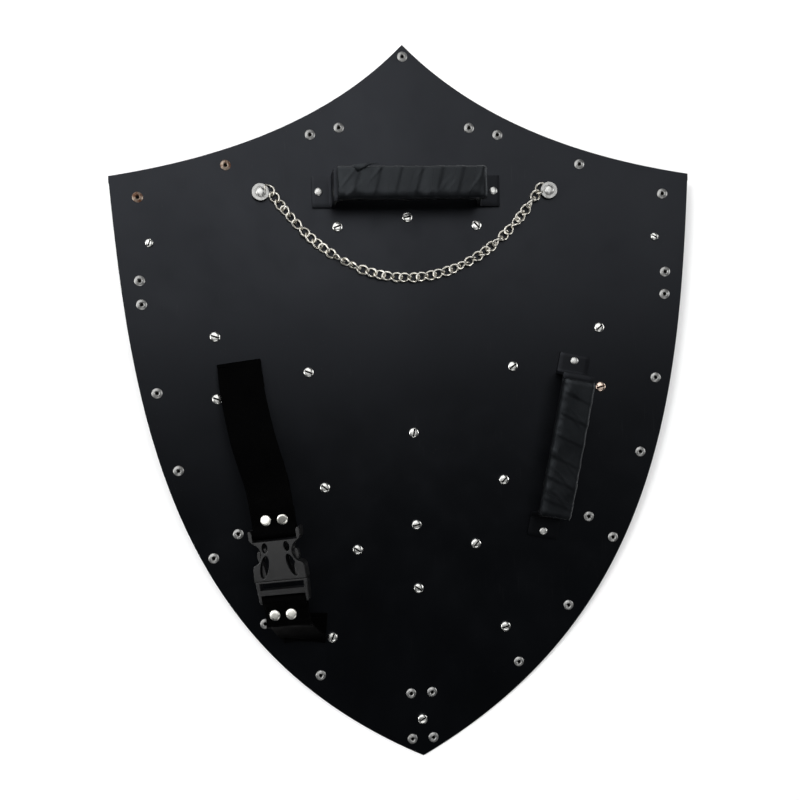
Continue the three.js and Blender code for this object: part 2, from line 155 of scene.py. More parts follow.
def pick_faces(piece: Piece, test: Callable[[Vector, Vector], bool]) -> None:
    """Selects faces in edit mode by their middle and normal.

    Args:
        piece: The object, already in edit mode.
        test: Says whether a face with this middle and this normal is picked.
    """
    bpy.ops.mesh.select_mode(type="FACE")
    bpy.ops.mesh.select_all(action="DESELECT")
    shape = bmesh.from_edit_mesh(piece.data)
    for face in shape.faces:
        if test(face.calc_center_median(), face.normal):
            face.select_set(True)
    bmesh.update_edit_mesh(piece.data)


def step_face(inward: float, rise: float) -> None:
    """Raises the picked faces from an inset ring, or straight up where there is no inset.

    Args:
        inward: How far the ring goes inwards, in millimetres.
        rise: How far it goes along the normal, in millimetres.
    """
    if abs(inward) < 1e-6:
        bpy.ops.mesh.extrude_region_shrink_fatten(TRANSFORM_OT_shrink_fatten={"value": rise * MM})
    else:
        bpy.ops.mesh.inset(thickness=inward * MM, depth=rise * MM)


def modify(piece: Piece, kind: str, **settings) -> None:
    """Adds a modifier and applies it.

    Args:
        piece: The object to change.
        kind: The modifier's type.
        settings: Its properties.
    """
    only(piece)
    modifier = piece.modifiers.new(kind.title(), kind)
    for key, value in settings.items():
        setattr(modifier, key, value)
    bpy.ops.object.modifier_apply(modifier=modifier.name)


def rim(piece: Piece, width: float, segments: int, angle: float,
        clamp: bool = True) -> None:
    """Rounds the sharp edges of a piece.

    Args:
        piece: The object to change.
        width: The bevel's width in millimetres.
        segments: Faces across the bevel.
        angle: Edges sharper than this many degrees are rounded.
        clamp: Whether the width is held back where edges are short.
    """
    modify(piece, "BEVEL", width=width * MM, segments=segments, limit_method="ANGLE",
           angle_limit=math.radians(angle), use_clamp_overlap=clamp)


def cut(piece: Piece, cutter: Piece, operation: str = "DIFFERENCE") -> None:
    """Cuts one piece by another and throws the cutter away.

    Args:
        piece: The object to change.
        cutter: The object that cuts it.
        operation: DIFFERENCE, UNION or INTERSECT.
    """
    modify(piece, "BOOLEAN", object=cutter, operation=operation, solver="EXACT")
    bpy.data.objects.remove(cutter, do_unlink=True)


def tidy_mesh(piece: Piece, distance: float) -> None:
    """Merges doubled vertices and turns the faces outwards.

    Args:
        piece: The object to change.
        distance: The merge distance in millimetres.
    """
    with editing(piece):
        bpy.ops.mesh.remove_doubles(threshold=distance * MM)
        bpy.ops.mesh.dissolve_degenerate(threshold=distance * MM / 10)
        bpy.ops.mesh.delete_loose(use_verts=True, use_edges=True, use_faces=False)
        bpy.ops.mesh.select_all(action="SELECT")
        bpy.ops.mesh.normals_make_consistent(inside=False)


def smooth(piece: Piece, angle: float) -> None:
    """Shades a piece smooth except over edges sharper than angle degrees."""
    only(piece)
    bpy.ops.object.shade_smooth_by_angle(angle=math.radians(angle))


def flatten(piece: Piece, least: float) -> None:
    """Shades a piece's large faces flat.

    Args:
        piece: The piece.
        least: Area from which a face is large, in square millimetres.
    """
    for face in piece.data.polygons:
        if face.area > least * MM * MM:
            face.use_smooth = False


def copy_of(master: Piece, name: str, matrix: Matrix) -> Piece:
    """Copies a master piece with its own mesh.

    Args:
        master: The finished piece, modelled round the origin.
        name: The copy's name.
        matrix: Where the copy's mesh goes.

    Returns:
        The copy, with its object at the origin.
    """
    only(master)
    bpy.ops.object.duplicate(linked=False)
    twin = bpy.context.object
    twin.name = name
    twin.data.name = name
    twin.data.transform(matrix)
    twin.matrix_world = Matrix.Identity(4)
    return twin


def throw_away(*pieces: Piece) -> None:
    """Removes master pieces that were only there to be copied."""
    for piece in pieces:
        bpy.data.objects.remove(piece, do_unlink=True)


def joined(name: str, pieces: Sequence[Piece]) -> Piece:
    """Joins several objects into one.

    Args:
        name: The joined object's name.
        pieces: The objects; the first one is kept.

    Returns:
        The joined object.
    """
    only(pieces[0])
    for piece in pieces[1:]:
        piece.select_set(True)
    bpy.ops.object.join()
    whole = bpy.context.object
    whole.name = name
    whole.data.name = name
    return whole


def turned(name: str, profile: Points, steps: int) -> Piece:
    """Spins a closed profile round the Z axis.

    Args:
        name: The new object's name.
        profile: Radius and height pairs in millimetres. It closes on itself.
        steps: Faces round the axis.

    Returns:
        The turned solid.
    """
    piece = begin(bpy.ops.mesh.primitive_circle_add, name, vertices=len(profile), radius=MM)
    for vertex, (radius, height) in zip(piece.data.vertices, profile):
        vertex.co = (radius * MM, 0, height * MM)
    with editing(piece):
        bpy.ops.mesh.spin(steps=steps, angle=2 * math.pi, center=(0, 0, 0), axis=(0, 0, 1))
    tidy_mesh(piece, distance=0.002)
    return piece


def cut_plate(name: str, outline: Points, low: float,
              high: float) -> Piece:
    """A flat plate cut to an outline and given its thickness.

    Args:
        name: The new object's name.
        outline: The outline's corners in millimetres, in order.
        low: Height of its lower face in millimetres.
        high: Height of its upper face in millimetres.

    Returns:
        The plate.
    """
    piece = begin(bpy.ops.mesh.primitive_circle_add, name, vertices=len(outline), radius=MM,
                  fill_type="NGON")
    for vertex, (x, y) in zip(piece.data.vertices, outline):
        vertex.co = (x * MM, y * MM, low * MM)
    with editing(piece):
        bpy.ops.mesh.extrude_region_move(TRANSFORM_OT_translate={"value": (0, 0, (high - low) * MM)})
        bpy.ops.mesh.select_all(action="SELECT")
        bpy.ops.mesh.normals_make_consistent(inside=False)
    return piece


def block(name: str, low: Sequence[float], high: Sequence[float]) -> Piece:
    """A cutter block between two corners.

    Args:
        name: The new object's name.
        low: Lowest corner in millimetres.
        high: Highest corner in millimetres.

    Returns:
        The block, with its place in its mesh.
    """
    middle = [(a + b) / 2 * MM for a, b in zip(low, high)]
    size = [(b - a) * MM for a, b in zip(low, high)]
    piece = begin(bpy.ops.mesh.primitive_cube_add, name, size=1, location=middle, scale=size)
    bake_place()
    return piece


def drill(name: str, radius: float, low: float, high: float, sides: int = 24) -> Piece:
    """A round cutter along Z, in millimetres."""
    return begin(bpy.ops.mesh.primitive_cylinder_add, name, vertices=sides, radius=radius * MM,
                 depth=(high - low) * MM, location=(0, 0, (low + high) / 2 * MM))


def hand_over(piece: Piece, name: str, slot: Slot, finish: Material,
              nodes: Sequence[str] = ()) -> None:
    """Names and dresses a finished piece, and fixes it to the shield.

    Args:
        piece: The finished object.
        name: Its name.
        slot: The record's slot that its finish belongs to.
        finish: Its material.
        nodes: The model's nodes that it stands for.
    """
    piece.name = name
    piece.data.name = name
    piece.data.materials.clear()
    piece.data.materials.append(finish)
    only(piece)
    bake_place()
    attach(piece, "root")
    if nodes:
        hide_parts(*nodes)
    log.info("%s: %d faces, slot %s", name, len(piece.data.polygons), slot.value)


# ---------------------------------------------------------------- the plate's own curve


@dataclass(frozen=True)
class Bend:
    """The curve that the plate is rolled to, and seats for pieces that stand on it.

    Sizes are in millimetres.
    """

    sheet: float = 1.6
    flat_half: float = 28.0
    radius: float = 1320.0

    def height(self, x: float) -> float:
        """Height of the plate's front face at x."""
        reach = max(0.0, abs(x) - self.flat_half)
        return self.radius - math.sqrt(self.radius**2 - reach**2)

    def angle(self, x: float) -> float:
        """Slope angle of the plate at x, in radians."""
        return math.copysign(math.asin(max(0.0, abs(x) - self.flat_half) / self.radius), x)

    def point(self, x: float, y: float, lift: float = 0.0) -> Vector:
        """A point over the plate's inner face, in millimetres, measured along Z."""
        return Vector((x, y, self.height(x) + self.sheet + lift))

    def normal(self, x: float) -> Vector:
        """The inner face's normal at x."""
        return Vector((-math.sin(self.angle(x)), 0, math.cos(self.angle(x))))

    def seat(self, x: float, y: float, turn: float = 0.0, lift: float = 0.0) -> Matrix:
        """The frame on the inner face at x and y.

        Args:
            x: Place across the shield, in millimetres.
            y: Place up the shield, in millimetres.
            turn: Turn about the face's normal, in radians.
            lift: Height over the face, in millimetres.

        Returns:
            The frame as a matrix in metres.
        """
        place = Matrix.Translation((self.point(x, y) + self.normal(x) * lift) * MM)
        return place @ Matrix.Rotation(-self.angle(x), 4, "Y") @ Matrix.Rotation(turn, 4, "Z")


BEND = Bend()


def bezier(a: Sequence[float], b: Sequence[float], c: Sequence[float], d: Sequence[float],
           t: float) -> tuple[float, float]:
    """A point on a cubic curve.

    Args:
        a: Start point.
        b: First handle.
        c: Second handle.
        d: End point.
        t: Place along it, from 0 to 1.

    Returns:
        The point as x and y.
    """
    s = 1 - t
    weights = (s**3, 3 * s * s * t, 3 * s * t * t, t**3)
    return tuple(sum(w * p[i] for w, p in zip(weights, (a, b, c, d))) for i in (0, 1))


def frame_from(origin: Vector, across: Vector, outward: Vector) -> Matrix:
    """A frame with X along across and Z outward.

    Args:
        origin: Its origin, in millimetres.
        across: Direction of its X axis, before it is squared up.
        outward: Direction of its Z axis.

    Returns:
        The frame as a matrix in millimetres.
    """
    normal = outward.normalized()
    first = (across - normal * across.dot(normal)).normalized()
    second = normal.cross(first)
    return Matrix.Translation(origin) @ Matrix((first, second, normal)).transposed().to_4x4()


def in_metres(matrix: Matrix) -> Matrix:
    """The same frame with its place in metres instead of millimetres."""
    scaled = matrix.copy()
    scaled.translation = matrix.translation * MM
    return scaled


def middle_of(node: str) -> Vector:
    """Middle of a node's box, in millimetres."""
    low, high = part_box(node)
    return (low + high) / (2 * MM)


# ---------------------------------------------------------------- finishes


class Recipe:
    """Adds and links the nodes of one material or node group."""

    def __init__(self, tree: bpy.types.NodeTree) -> None:
        """Keeps the tree that the nodes go into."""
        self.tree = tree

    def add(self, kind: str, inputs: Optional[dict] = None, **settings) -> bpy.types.Node:
        """Adds a node.

        Args:
            kind: The node's type.
            inputs: Plain values or sockets to link, by input name or number.
            settings: The node's own properties.

        Returns:
            The node.
        """
        node = self.tree.nodes.new(kind)
        for key, value in settings.items():
            setattr(node, key, value)
        for key, value in (inputs or {}).items():
            socket = node.inputs[key]
            if isinstance(value, Socket):
                self.tree.links.new(value, socket)
            else:
                socket.default_value = value
        return node

    def maths(self, operation: str, *values: Feed) -> Socket:
        """One sum on values or sockets.

        Args:
            operation: The Math node's operation.
            values: What it works on, in order.

        Returns:
            The result's socket.
        """
        return self.add("ShaderNodeMath", dict(enumerate(values)), operation=operation).outputs[0]

    def times(self, first: Feed, second: Feed) -> Socket:
        """The product of two values or sockets."""
        return self.maths("MULTIPLY", first, second)

    def ranged(self, value: Feed, low: float, high: float, to_low: float,
               to_high: float) -> Socket:
        """Maps a value from one range to another, clamped.

        Args:
            value: The socket.
            low: Start of its range.
            high: End of its range.
            to_low: What the start becomes.
            to_high: What the end becomes.

        Returns:
            The result's socket.
        """
        return self.add("ShaderNodeMapRange", {"Value": value, "From Min": low, "From Max": high,
                                               "To Min": to_low, "To Max": to_high}).outputs[0]

    def blend(self, factor: Feed, first: Feed, second: Feed) -> Socket:
        """Mixes two colours by a factor.

        Args:
            factor: Value or socket from 0 to 1.
            first: Colour or socket at 0.
            second: Colour or socket at 1.

        Returns:
            The mixed colour's socket.
        """
        # A colour mix has its factor at input 0, its two colours at 6 and 7, and its result at output 2.
        node = self.add("ShaderNodeMix", {0: factor, 6: first, 7: second}, data_type="RGBA")
        return node.outputs[2]


def effect(name: str, inputs: dict[str, float], outputs: Sequence[str],
           fill: Callable[[Recipe, dict], dict]) -> bpy.types.NodeTree:
    """Builds a node group for an effect that several finishes share.

    Args:
        name: The group's name.
        inputs: Its value inputs and their defaults; it has a Coordinates input besides.
        outputs: Its value outputs.
        fill: Makes its nodes from a recipe and its input sockets, and gives the output sockets.

    Returns:
        The group.
    """
    tree = bpy.data.node_groups.new(name, "ShaderNodeTree")
    tree.interface.new_socket(name="Coordinates", in_out="INPUT", socket_type="NodeSocketVector")
    for label, value in inputs.items():
        socket = tree.interface.new_socket(name=label, in_out="INPUT", socket_type="NodeSocketFloat")
        socket.default_value = value
    for label in outputs:
        tree.interface.new_socket(name=label, in_out="OUTPUT", socket_type="NodeSocketFloat")
    recipe = Recipe(tree)
    start = recipe.add("NodeGroupInput")
    end = recipe.add("NodeGroupOutput")
    made = fill(recipe, {socket.name: socket for socket in start.outputs})
    for label, socket in made.items():
        tree.links.new(socket, end.inputs[label])
    return tree


def fill_grain(recipe: Recipe, given: dict) -> dict:
    """Two sizes of mottling, for paint, tape and plate."""
    broad = recipe.add("ShaderNodeTexNoise", {"Vector": given["Coordinates"], "Scale": given["Broad"],
                                              "Detail": 3.0, "Roughness": 0.55})
    fine = recipe.add("ShaderNodeTexNoise", {"Vector": given["Coordinates"], "Scale": given["Fine"],
                                             "Detail": 2.0, "Roughness": 0.6})
    return {"Mottle": broad.outputs[0], "Grain": fine.outputs[0]}


def fill_dust(recipe: Recipe, given: dict) -> dict:
    """Sparse specks that lie on faces turned upwards."""
    cells = recipe.add("ShaderNodeTexVoronoi", {"Vector": given["Coordinates"], "Scale": given["Scale"]})
    patch = recipe.add("ShaderNodeTexNoise", {"Vector": given["Coordinates"], "Scale": 9.0, "Detail": 4.0})
    speck = recipe.add("ShaderNodeMapRange", {"Value": cells.outputs["Distance"], "From Min": given["Size"],
                                              "From Max": 0.0})
    rare = recipe.add("ShaderNodeSeparateColor", {0: cells.outputs["Color"]})
    chosen = recipe.maths("GREATER_THAN", rare.outputs[0], given["Rarity"])
    up = recipe.add("ShaderNodeNewGeometry")
    facing = recipe.add("ShaderNodeSeparateXYZ", {0: up.outputs["Normal"]})
    lying = recipe.ranged(facing.outputs[2], 0.2, 0.9, 0.0, 1.0)
    drift = recipe.ranged(patch.outputs[0], 0.42, 0.7, 0.15, 1.0)
    specks = recipe.times(recipe.times(speck.outputs[0], chosen), drift)
    return {"Dust": recipe.times(specks, lying)}


def fill_scuffs(recipe: Recipe, given: dict) -> dict:
    """Fine straight scratches in two directions."""
    lines = []
    for turn in (0.5, 2.1):
        turned_way = recipe.add("ShaderNodeMapping", {"Vector": given["Coordinates"],
                                                      "Rotation": (0.0, 0.0, turn),
                                                      "Scale": (1.0, 0.045, 1.0)})
        streaks = recipe.add("ShaderNodeTexNoise", {"Vector": turned_way.outputs[0],
                                                    "Scale": given["Scale"], "Detail": 1.0})
        lines.append(recipe.ranged(streaks.outputs[0], 0.69, 0.75, 0.0, 1.0))
    patch = recipe.add("ShaderNodeTexNoise", {"Vector": given["Coordinates"], "Scale": 14.0})
    where = recipe.ranged(patch.outputs[0], 0.5, 0.68, 0.0, 1.0)
    both = recipe.maths("MAXIMUM", lines[0], lines[1])
    return {"Scuffs": recipe.times(both, where)}


def fill_weave(recipe: Recipe, given: dict) -> dict:
    """Cross ribs and lengthwise yarns on a ribbon whose coordinates run across and along it."""
    place = recipe.add("ShaderNodeSeparateXYZ", {0: given["Coordinates"]})
    across, along = place.outputs[0], place.outputs[1]
    yarns = recipe.maths("SINE", recipe.times(across, given["Yarns"]))
    row = recipe.times(along, given["Ribs"])
    lean = recipe.times(yarns, given["Lean"])
    ribs = recipe.maths("SINE", recipe.maths("ADD", row, lean))
    height = recipe.maths("MULTIPLY_ADD", ribs, 0.32, 0.5)
    total = recipe.maths("ADD", height, recipe.times(yarns, 0.18))
    return {"Height": total, "Gaps": recipe.ranged(total, 0.05, 0.5, 1.0, 0.0)}


class Effects:
    """The effects that several finishes share, each built once."""

    def __init__(self) -> None:
        """Builds the groups."""
        self.grain = effect("grain", {"Broad": 20.0, "Fine": 900.0}, ("Mottle", "Grain"), fill_grain)
        self.dust = effect("dust", {"Scale": 260.0, "Size": 0.2, "Rarity": 0.9}, ("Dust",), fill_dust)
        self.scuffs = effect("scuffs", {"Scale": 900.0}, ("Scuffs",), fill_scuffs)
        self.weave = effect("weave", {"Yarns": 5000.0, "Ribs": 4000.0, "Lean": 1.4},
                            ("Height", "Gaps"), fill_weave)


EFFECTS = Effects()


def colour(red: float, green: float, blue: float) -> tuple[float, float, float, float]:
    """An opaque colour."""
    return (red, green, blue, 1.0)


class Coat:
    """A material under construction: its shader, its coordinates and its shared effects."""

    def __init__(self, name: str, source: str = "Object", **shader) -> None:
        """Starts a material.

        Args:
            name: The material's name.
            source: Output of Texture Coordinate that its patterns follow.
            shader: Plain values for the shader's own sockets, with _ for a space.
        """
        self.material = bpy.data.materials.new(name)
        self.material.use_nodes = True
        self.recipe = Recipe(self.material.node_tree)
        self.shader = self.material.node_tree.nodes["Principled BSDF"]
        self.coordinates = self.recipe.add("ShaderNodeTexCoord").outputs[source]
        for label, value in shader.items():
            self.shader.inputs[label.replace("_", " ")].default_value = value

    def use(self, group: bpy.types.NodeTree, coordinates: Optional[Socket] = None,
            **inputs: float) -> bpy.types.Node:
        """Places a shared effect.

        Args:
            group: The effect's group.
            coordinates: The socket it follows, or None for the material's own.
            inputs: Its values, with _ for a space.

        Returns:
            The group's node.
        """
        node = self.recipe.add("ShaderNodeGroup", node_tree=group)
        self.recipe.tree.links.new(coordinates or self.coordinates, node.inputs["Coordinates"])
        for label, value in inputs.items():
            node.inputs[label.replace("_", " ")].default_value = value
        return node

    def wire(self, socket: Socket, label: str) -> None:
        """Feeds a socket into one of the shader's inputs."""
        self.recipe.tree.links.new(socket, self.shader.inputs[label])

    def emboss(self, height: Socket, distance: float) -> None:
        """Turns a height into the shader's normal.

        Args:
            height: The height socket.
            distance: Depth of the relief in millimetres.
        """
        bump = self.recipe.add("ShaderNodeBump", {"Height": height, "Distance": distance * MM,
                                                  "Strength": 1.0})
        self.wire(bump.outputs["Normal"], "Normal")


@dataclass(frozen=True)
class Paint:
    """Satin black paint over steel: orange peel, faint smudges, scuffs and a little dust."""

    name: str
    base: tuple[float, float, float] = (0.0012, 0.0015, 0.0021)
    gloss: tuple[float, float] = (0.31, 0.38)
    peel: float = 0.012
    dust_rarity: float = 0.955

    def make(self) -> Material:
        """Builds the paint's material."""
        coat = Coat(self.name, Specular_IOR_Level=0.5, Specular_Tint=colour(0.83, 0.88, 1.0))
        grain = coat.use(EFFECTS.grain, Broad=11.0, Fine=850.0)
        smudge = coat.use(EFFECTS.grain, Broad=46.0, Fine=2600.0)
        dust = coat.use(EFFECTS.dust, Scale=420.0, Size=0.22, Rarity=self.dust_rarity)
        scuffs = coat.use(EFFECTS.scuffs, Scale=620.0)
        recipe = coat.recipe
        dark = colour(*(0.8 * part for part in self.base))
        light = colour(*(1.25 * part for part in self.base))
        paint = recipe.blend(recipe.ranged(grain.outputs["Mottle"], 0.35, 0.65, 0.0, 1.0), dark, light)
        marked = recipe.blend(recipe.times(scuffs.outputs[0], 0.25), paint,
                              colour(0.03, 0.03, 0.032))
        dusty = recipe.blend(recipe.times(dust.outputs[0], 0.5), marked,
                             colour(0.12, 0.12, 0.115))
        coat.wire(dusty, "Base Color")
        rough = recipe.ranged(grain.outputs["Mottle"], 0.3, 0.7, *self.gloss)
        rough = recipe.maths("ADD", rough, recipe.ranged(smudge.outputs["Mottle"], 0.5, 0.72, 0.0, 0.035))
        rough = recipe.maths("ADD", rough, recipe.times(dust.outputs[0], 0.3))
        coat.wire(rough, "Roughness")
        relief = recipe.maths("ADD", grain.outputs["Grain"],
                              recipe.times(smudge.outputs["Grain"], 0.35))
        coat.emboss(relief, self.peel)
        return coat.material


@dataclass(frozen=True)
class Metal:
    """Plated or bare metal with turning marks, dull patches and dirt."""

    name: str
    base: tuple[float, float, float]
    stain: tuple[float, float, float]
    rough: tuple[float, float] = (0.24, 0.42)
    stained: tuple[float, float] = (0.55, 0.8)
    relief: float = 0.012

    def make(self) -> Material:
        """Builds the metal's material."""
        coat = Coat(self.name)
        grain = coat.use(EFFECTS.grain, Broad=230.0, Fine=2400.0)
        scuffs = coat.use(EFFECTS.scuffs, Scale=5200.0)
        recipe = coat.recipe
        patches = recipe.ranged(grain.outputs["Mottle"], *self.stained, 0.0, 1.0)
        coat.wire(recipe.blend(patches, colour(*self.base), colour(*self.stain)), "Base Color")
        coat.wire(recipe.ranged(patches, 0.0, 1.0, 1.0, 0.55), "Metallic")
        rough = recipe.ranged(grain.outputs["Mottle"], 0.3, 0.7, *self.rough)
        coat.wire(recipe.maths("ADD", rough, recipe.times(scuffs.outputs[0], 0.15)), "Roughness")
        relief = recipe.maths("ADD", grain.outputs["Grain"],
                              recipe.times(scuffs.outputs[0], -0.8))
        coat.emboss(relief, self.relief)
        return coat.material


@dataclass(frozen=True)
class Tape:
    """Black tape: fine cloth grain under a soft plastic face, with small creases and lint."""

    name: str = "grip_tape"

    def make(self) -> Material:
        """Builds the tape's material."""
        coat = Coat(self.name, source="UV", Specular_IOR_Level=0.55, Specular_Tint=colour(0.84, 0.92, 1.0))
        place = coat.recipe.add("ShaderNodeTexCoord").outputs["Object"]
        weave = coat.use(EFFECTS.weave, Yarns=6200.0, Ribs=5200.0, Lean=0.6)
        grain = coat.use(EFFECTS.grain, coordinates=place, Broad=70.0, Fine=1500.0)
        dust = coat.use(EFFECTS.dust, coordinates=place, Scale=650.0, Size=0.25, Rarity=0.94)
        recipe = coat.recipe
        body = recipe.blend(recipe.ranged(grain.outputs["Mottle"], 0.35, 0.65, 0.0, 1.0),
                            colour(0.0038, 0.0042, 0.005), colour(0.0062, 0.0066, 0.0078))
        coat.wire(recipe.blend(recipe.times(dust.outputs[0], 0.4), body,
                               colour(0.1, 0.1, 0.1)), "Base Color")
        coat.wire(recipe.ranged(grain.outputs["Mottle"], 0.3, 0.7, 0.36, 0.48), "Roughness")
        relief = recipe.maths("ADD", recipe.times(weave.outputs["Height"], 0.3),
                              grain.outputs["Mottle"])
        coat.emboss(relief, 0.09)
        return coat.material


@dataclass(frozen=True)
class Webbing:
    """Black woven webbing, matt, with ribs across it and lint in its weave."""

    name: str = "strap_webbing"

    def make(self) -> Material:
        """Builds the webbing's material."""
        coat = Coat(self.name, source="UV", Specular_IOR_Level=0.035)
        place = coat.recipe.add("ShaderNodeTexCoord").outputs["Object"]
        weave = coat.use(EFFECTS.weave, Yarns=3900.0, Ribs=3300.0, Lean=1.5)
        grain = coat.use(EFFECTS.grain, coordinates=place, Broad=60.0, Fine=3000.0)
        dust = coat.use(EFFECTS.dust, coordinates=place, Scale=700.0, Size=0.25, Rarity=0.95)
        recipe = coat.recipe
        yarn = recipe.blend(grain.outputs["Mottle"], colour(0.0006, 0.0006, 0.0007),
                            colour(0.0015, 0.0015, 0.0017))
        # The weave's gaps are painted darker: painted shade.
        sunk = recipe.blend(recipe.times(weave.outputs["Gaps"], 0.6), yarn,
                            colour(0.0003, 0.0003, 0.0004))
        coat.wire(recipe.blend(recipe.times(dust.outputs[0], 0.25), sunk,
                               colour(0.05, 0.05, 0.05)), "Base Color")
        coat.wire(recipe.ranged(grain.outputs["Mottle"], 0.3, 0.7, 0.62, 0.8), "Roughness")
        relief = recipe.maths("ADD", weave.outputs["Height"],
                              recipe.times(grain.outputs["Grain"], 0.25))
        coat.emboss(relief, 0.22)
        return coat.material


@dataclass(frozen=True)
class Moulded:
    """Black moulded plastic with a fine spark-eroded grain."""

    name: str = "buckle_plastic"

    def make(self) -> Material:
        """Builds the plastic's material."""
        coat = Coat(self.name, Specular_IOR_Level=0.5)
        grain = coat.use(EFFECTS.grain, Broad=120.0, Fine=3600.0)
        scuffs = coat.use(EFFECTS.scuffs, Scale=2300.0)
        dust = coat.use(EFFECTS.dust, Scale=900.0, Size=0.25, Rarity=0.95)
        recipe = coat.recipe
        body = recipe.blend(grain.outputs["Mottle"], colour(0.008, 0.0081, 0.0085),
                            colour(0.011, 0.0111, 0.0116))
        rubbed = recipe.blend(recipe.times(scuffs.outputs[0], 0.2), body,
                              colour(0.03, 0.03, 0.03))
        coat.wire(recipe.blend(recipe.times(dust.outputs[0], 0.35), rubbed,
                               colour(0.1, 0.1, 0.1)), "Base Color")
        coat.wire(recipe.ranged(grain.outputs["Mottle"], 0.3, 0.7, 0.3, 0.42), "Roughness")
        coat.emboss(grain.outputs["Grain"], 0.02)
        return coat.material


@dataclass(frozen=True)
class FloorPaper:
    """Pale studio paper."""

    name: str = "studio_paper"

    def make(self) -> Material:
        """Builds the floor's material."""
        coat = Coat(self.name, Specular_IOR_Level=0.2)
        grain = coat.use(EFFECTS.grain, Broad=3.0, Fine=400.0)
        coat.wire(coat.recipe.blend(grain.outputs["Mottle"], colour(0.88, 0.88, 0.88),
                                    colour(0.92, 0.92, 0.92)), "Base Color")
        coat.wire(coat.recipe.ranged(grain.outputs["Grain"], 0.0, 1.0, 0.8, 0.95), "Roughness")
        return coat.material


class Finishes:
    """Every finish on the shield, built once and shared by its pieces."""

    def __init__(self) -> None:
        """Builds the materials."""
        self.plate = Paint("plate_paint").make()
        self.grip = Paint("grip_paint", base=(0.0024, 0.0025, 0.003), gloss=(0.36, 0.44), peel=0.02).make()
        self.tape = Tape().make()
        self.webbing = Webbing().make()
        self.thread = Metal("stitch_thread", (0.006, 0.006, 0.007), (0.004, 0.004, 0.004)).make()
        self.buckle = Moulded().make()
        self.zinc = Metal("zinc_plate", (0.86, 0.86, 0.83), (0.36, 0.34, 0.3), rough=(0.18, 0.34),
                          stained=(0.6, 0.85)).make()
        self.warm = Metal("warm_zinc", (0.93, 0.74, 0.62), (0.5, 0.36, 0.28), rough=(0.22, 0.34)).make()
        self.bolt = Metal("dull_zinc", (0.72, 0.72, 0.7), (0.4, 0.38, 0.35), rough=(0.3, 0.46)).make()
        self.rivet = Metal("rivet_alloy", (0.5, 0.5, 0.49), (0.26, 0.25, 0.23), rough=(0.34, 0.5),
                           stained=(0.58, 0.75)).make()
        self.rusty = Metal("rusty_rivet", (0.52, 0.42, 0.34), (0.16, 0.07, 0.035), rough=(0.4, 0.6),
                           stained=(0.38, 0.6)).make()
        self.nickel = Metal("bright_nickel", (0.93, 0.9, 0.82), (0.6, 0.54, 0.42), rough=(0.26, 0.34),
                            stained=(0.62, 0.9), relief=0.003).make()
        self.cap = Metal("cap_nickel", (0.94, 0.93, 0.86), (0.8, 0.76, 0.66), rough=(0.26, 0.32),
                         stained=(0.72, 0.95), relief=0.001).make()
        # Near-black finish for the blocks in screw slots and rivet barrels: painted shade.
        self.shade = Metal("painted_hollow_shade", (0.012, 0.011, 0.01), (0.006, 0.006, 0.006), rough=(0.6, 0.8)).make()
        self.floor = FloorPaper().make()

    def lit_groups(self) -> dict[str, tuple[Material, ...]]:
        """The finishes that each group of lights reaches."""
        return {"hardware": (self.zinc, self.warm, self.bolt, self.rivet, self.rusty, self.nickel, self.cap),
                "buckle": (self.buckle,),
                "buckle_face": (self.buckle, self.cap),
                "tape": (self.tape,)}


# ---------------------------------------------------------------- studio


@dataclass(frozen=True)
class Lamp:
    """A soft rectangular light. Sizes are in metres, and a radiance of 1 is white."""

    name: str
    place: tuple[float, float, float]
    target: tuple[float, float, float]
    size: tuple[float, float]
    radiance: float
    group: str = "all"

    def hang(self) -> Piece:
        """Hangs the light where it belongs, facing its target."""
        bpy.ops.object.light_add(type="AREA", location=self.place)
        lamp = bpy.context.object
        lamp.name = self.name
        lamp.data.shape = "RECTANGLE"
        lamp.data.size, lamp.data.size_y = self.size
        lamp.data.energy = self.radiance * math.pi * self.size[0] * self.size[1]
        way = Vector(self.target) - Vector(self.place)
        lamp.rotation_euler = way.to_track_quat("-Z", "Y").to_euler()
        lamp.visible_camera = False
        return lamp


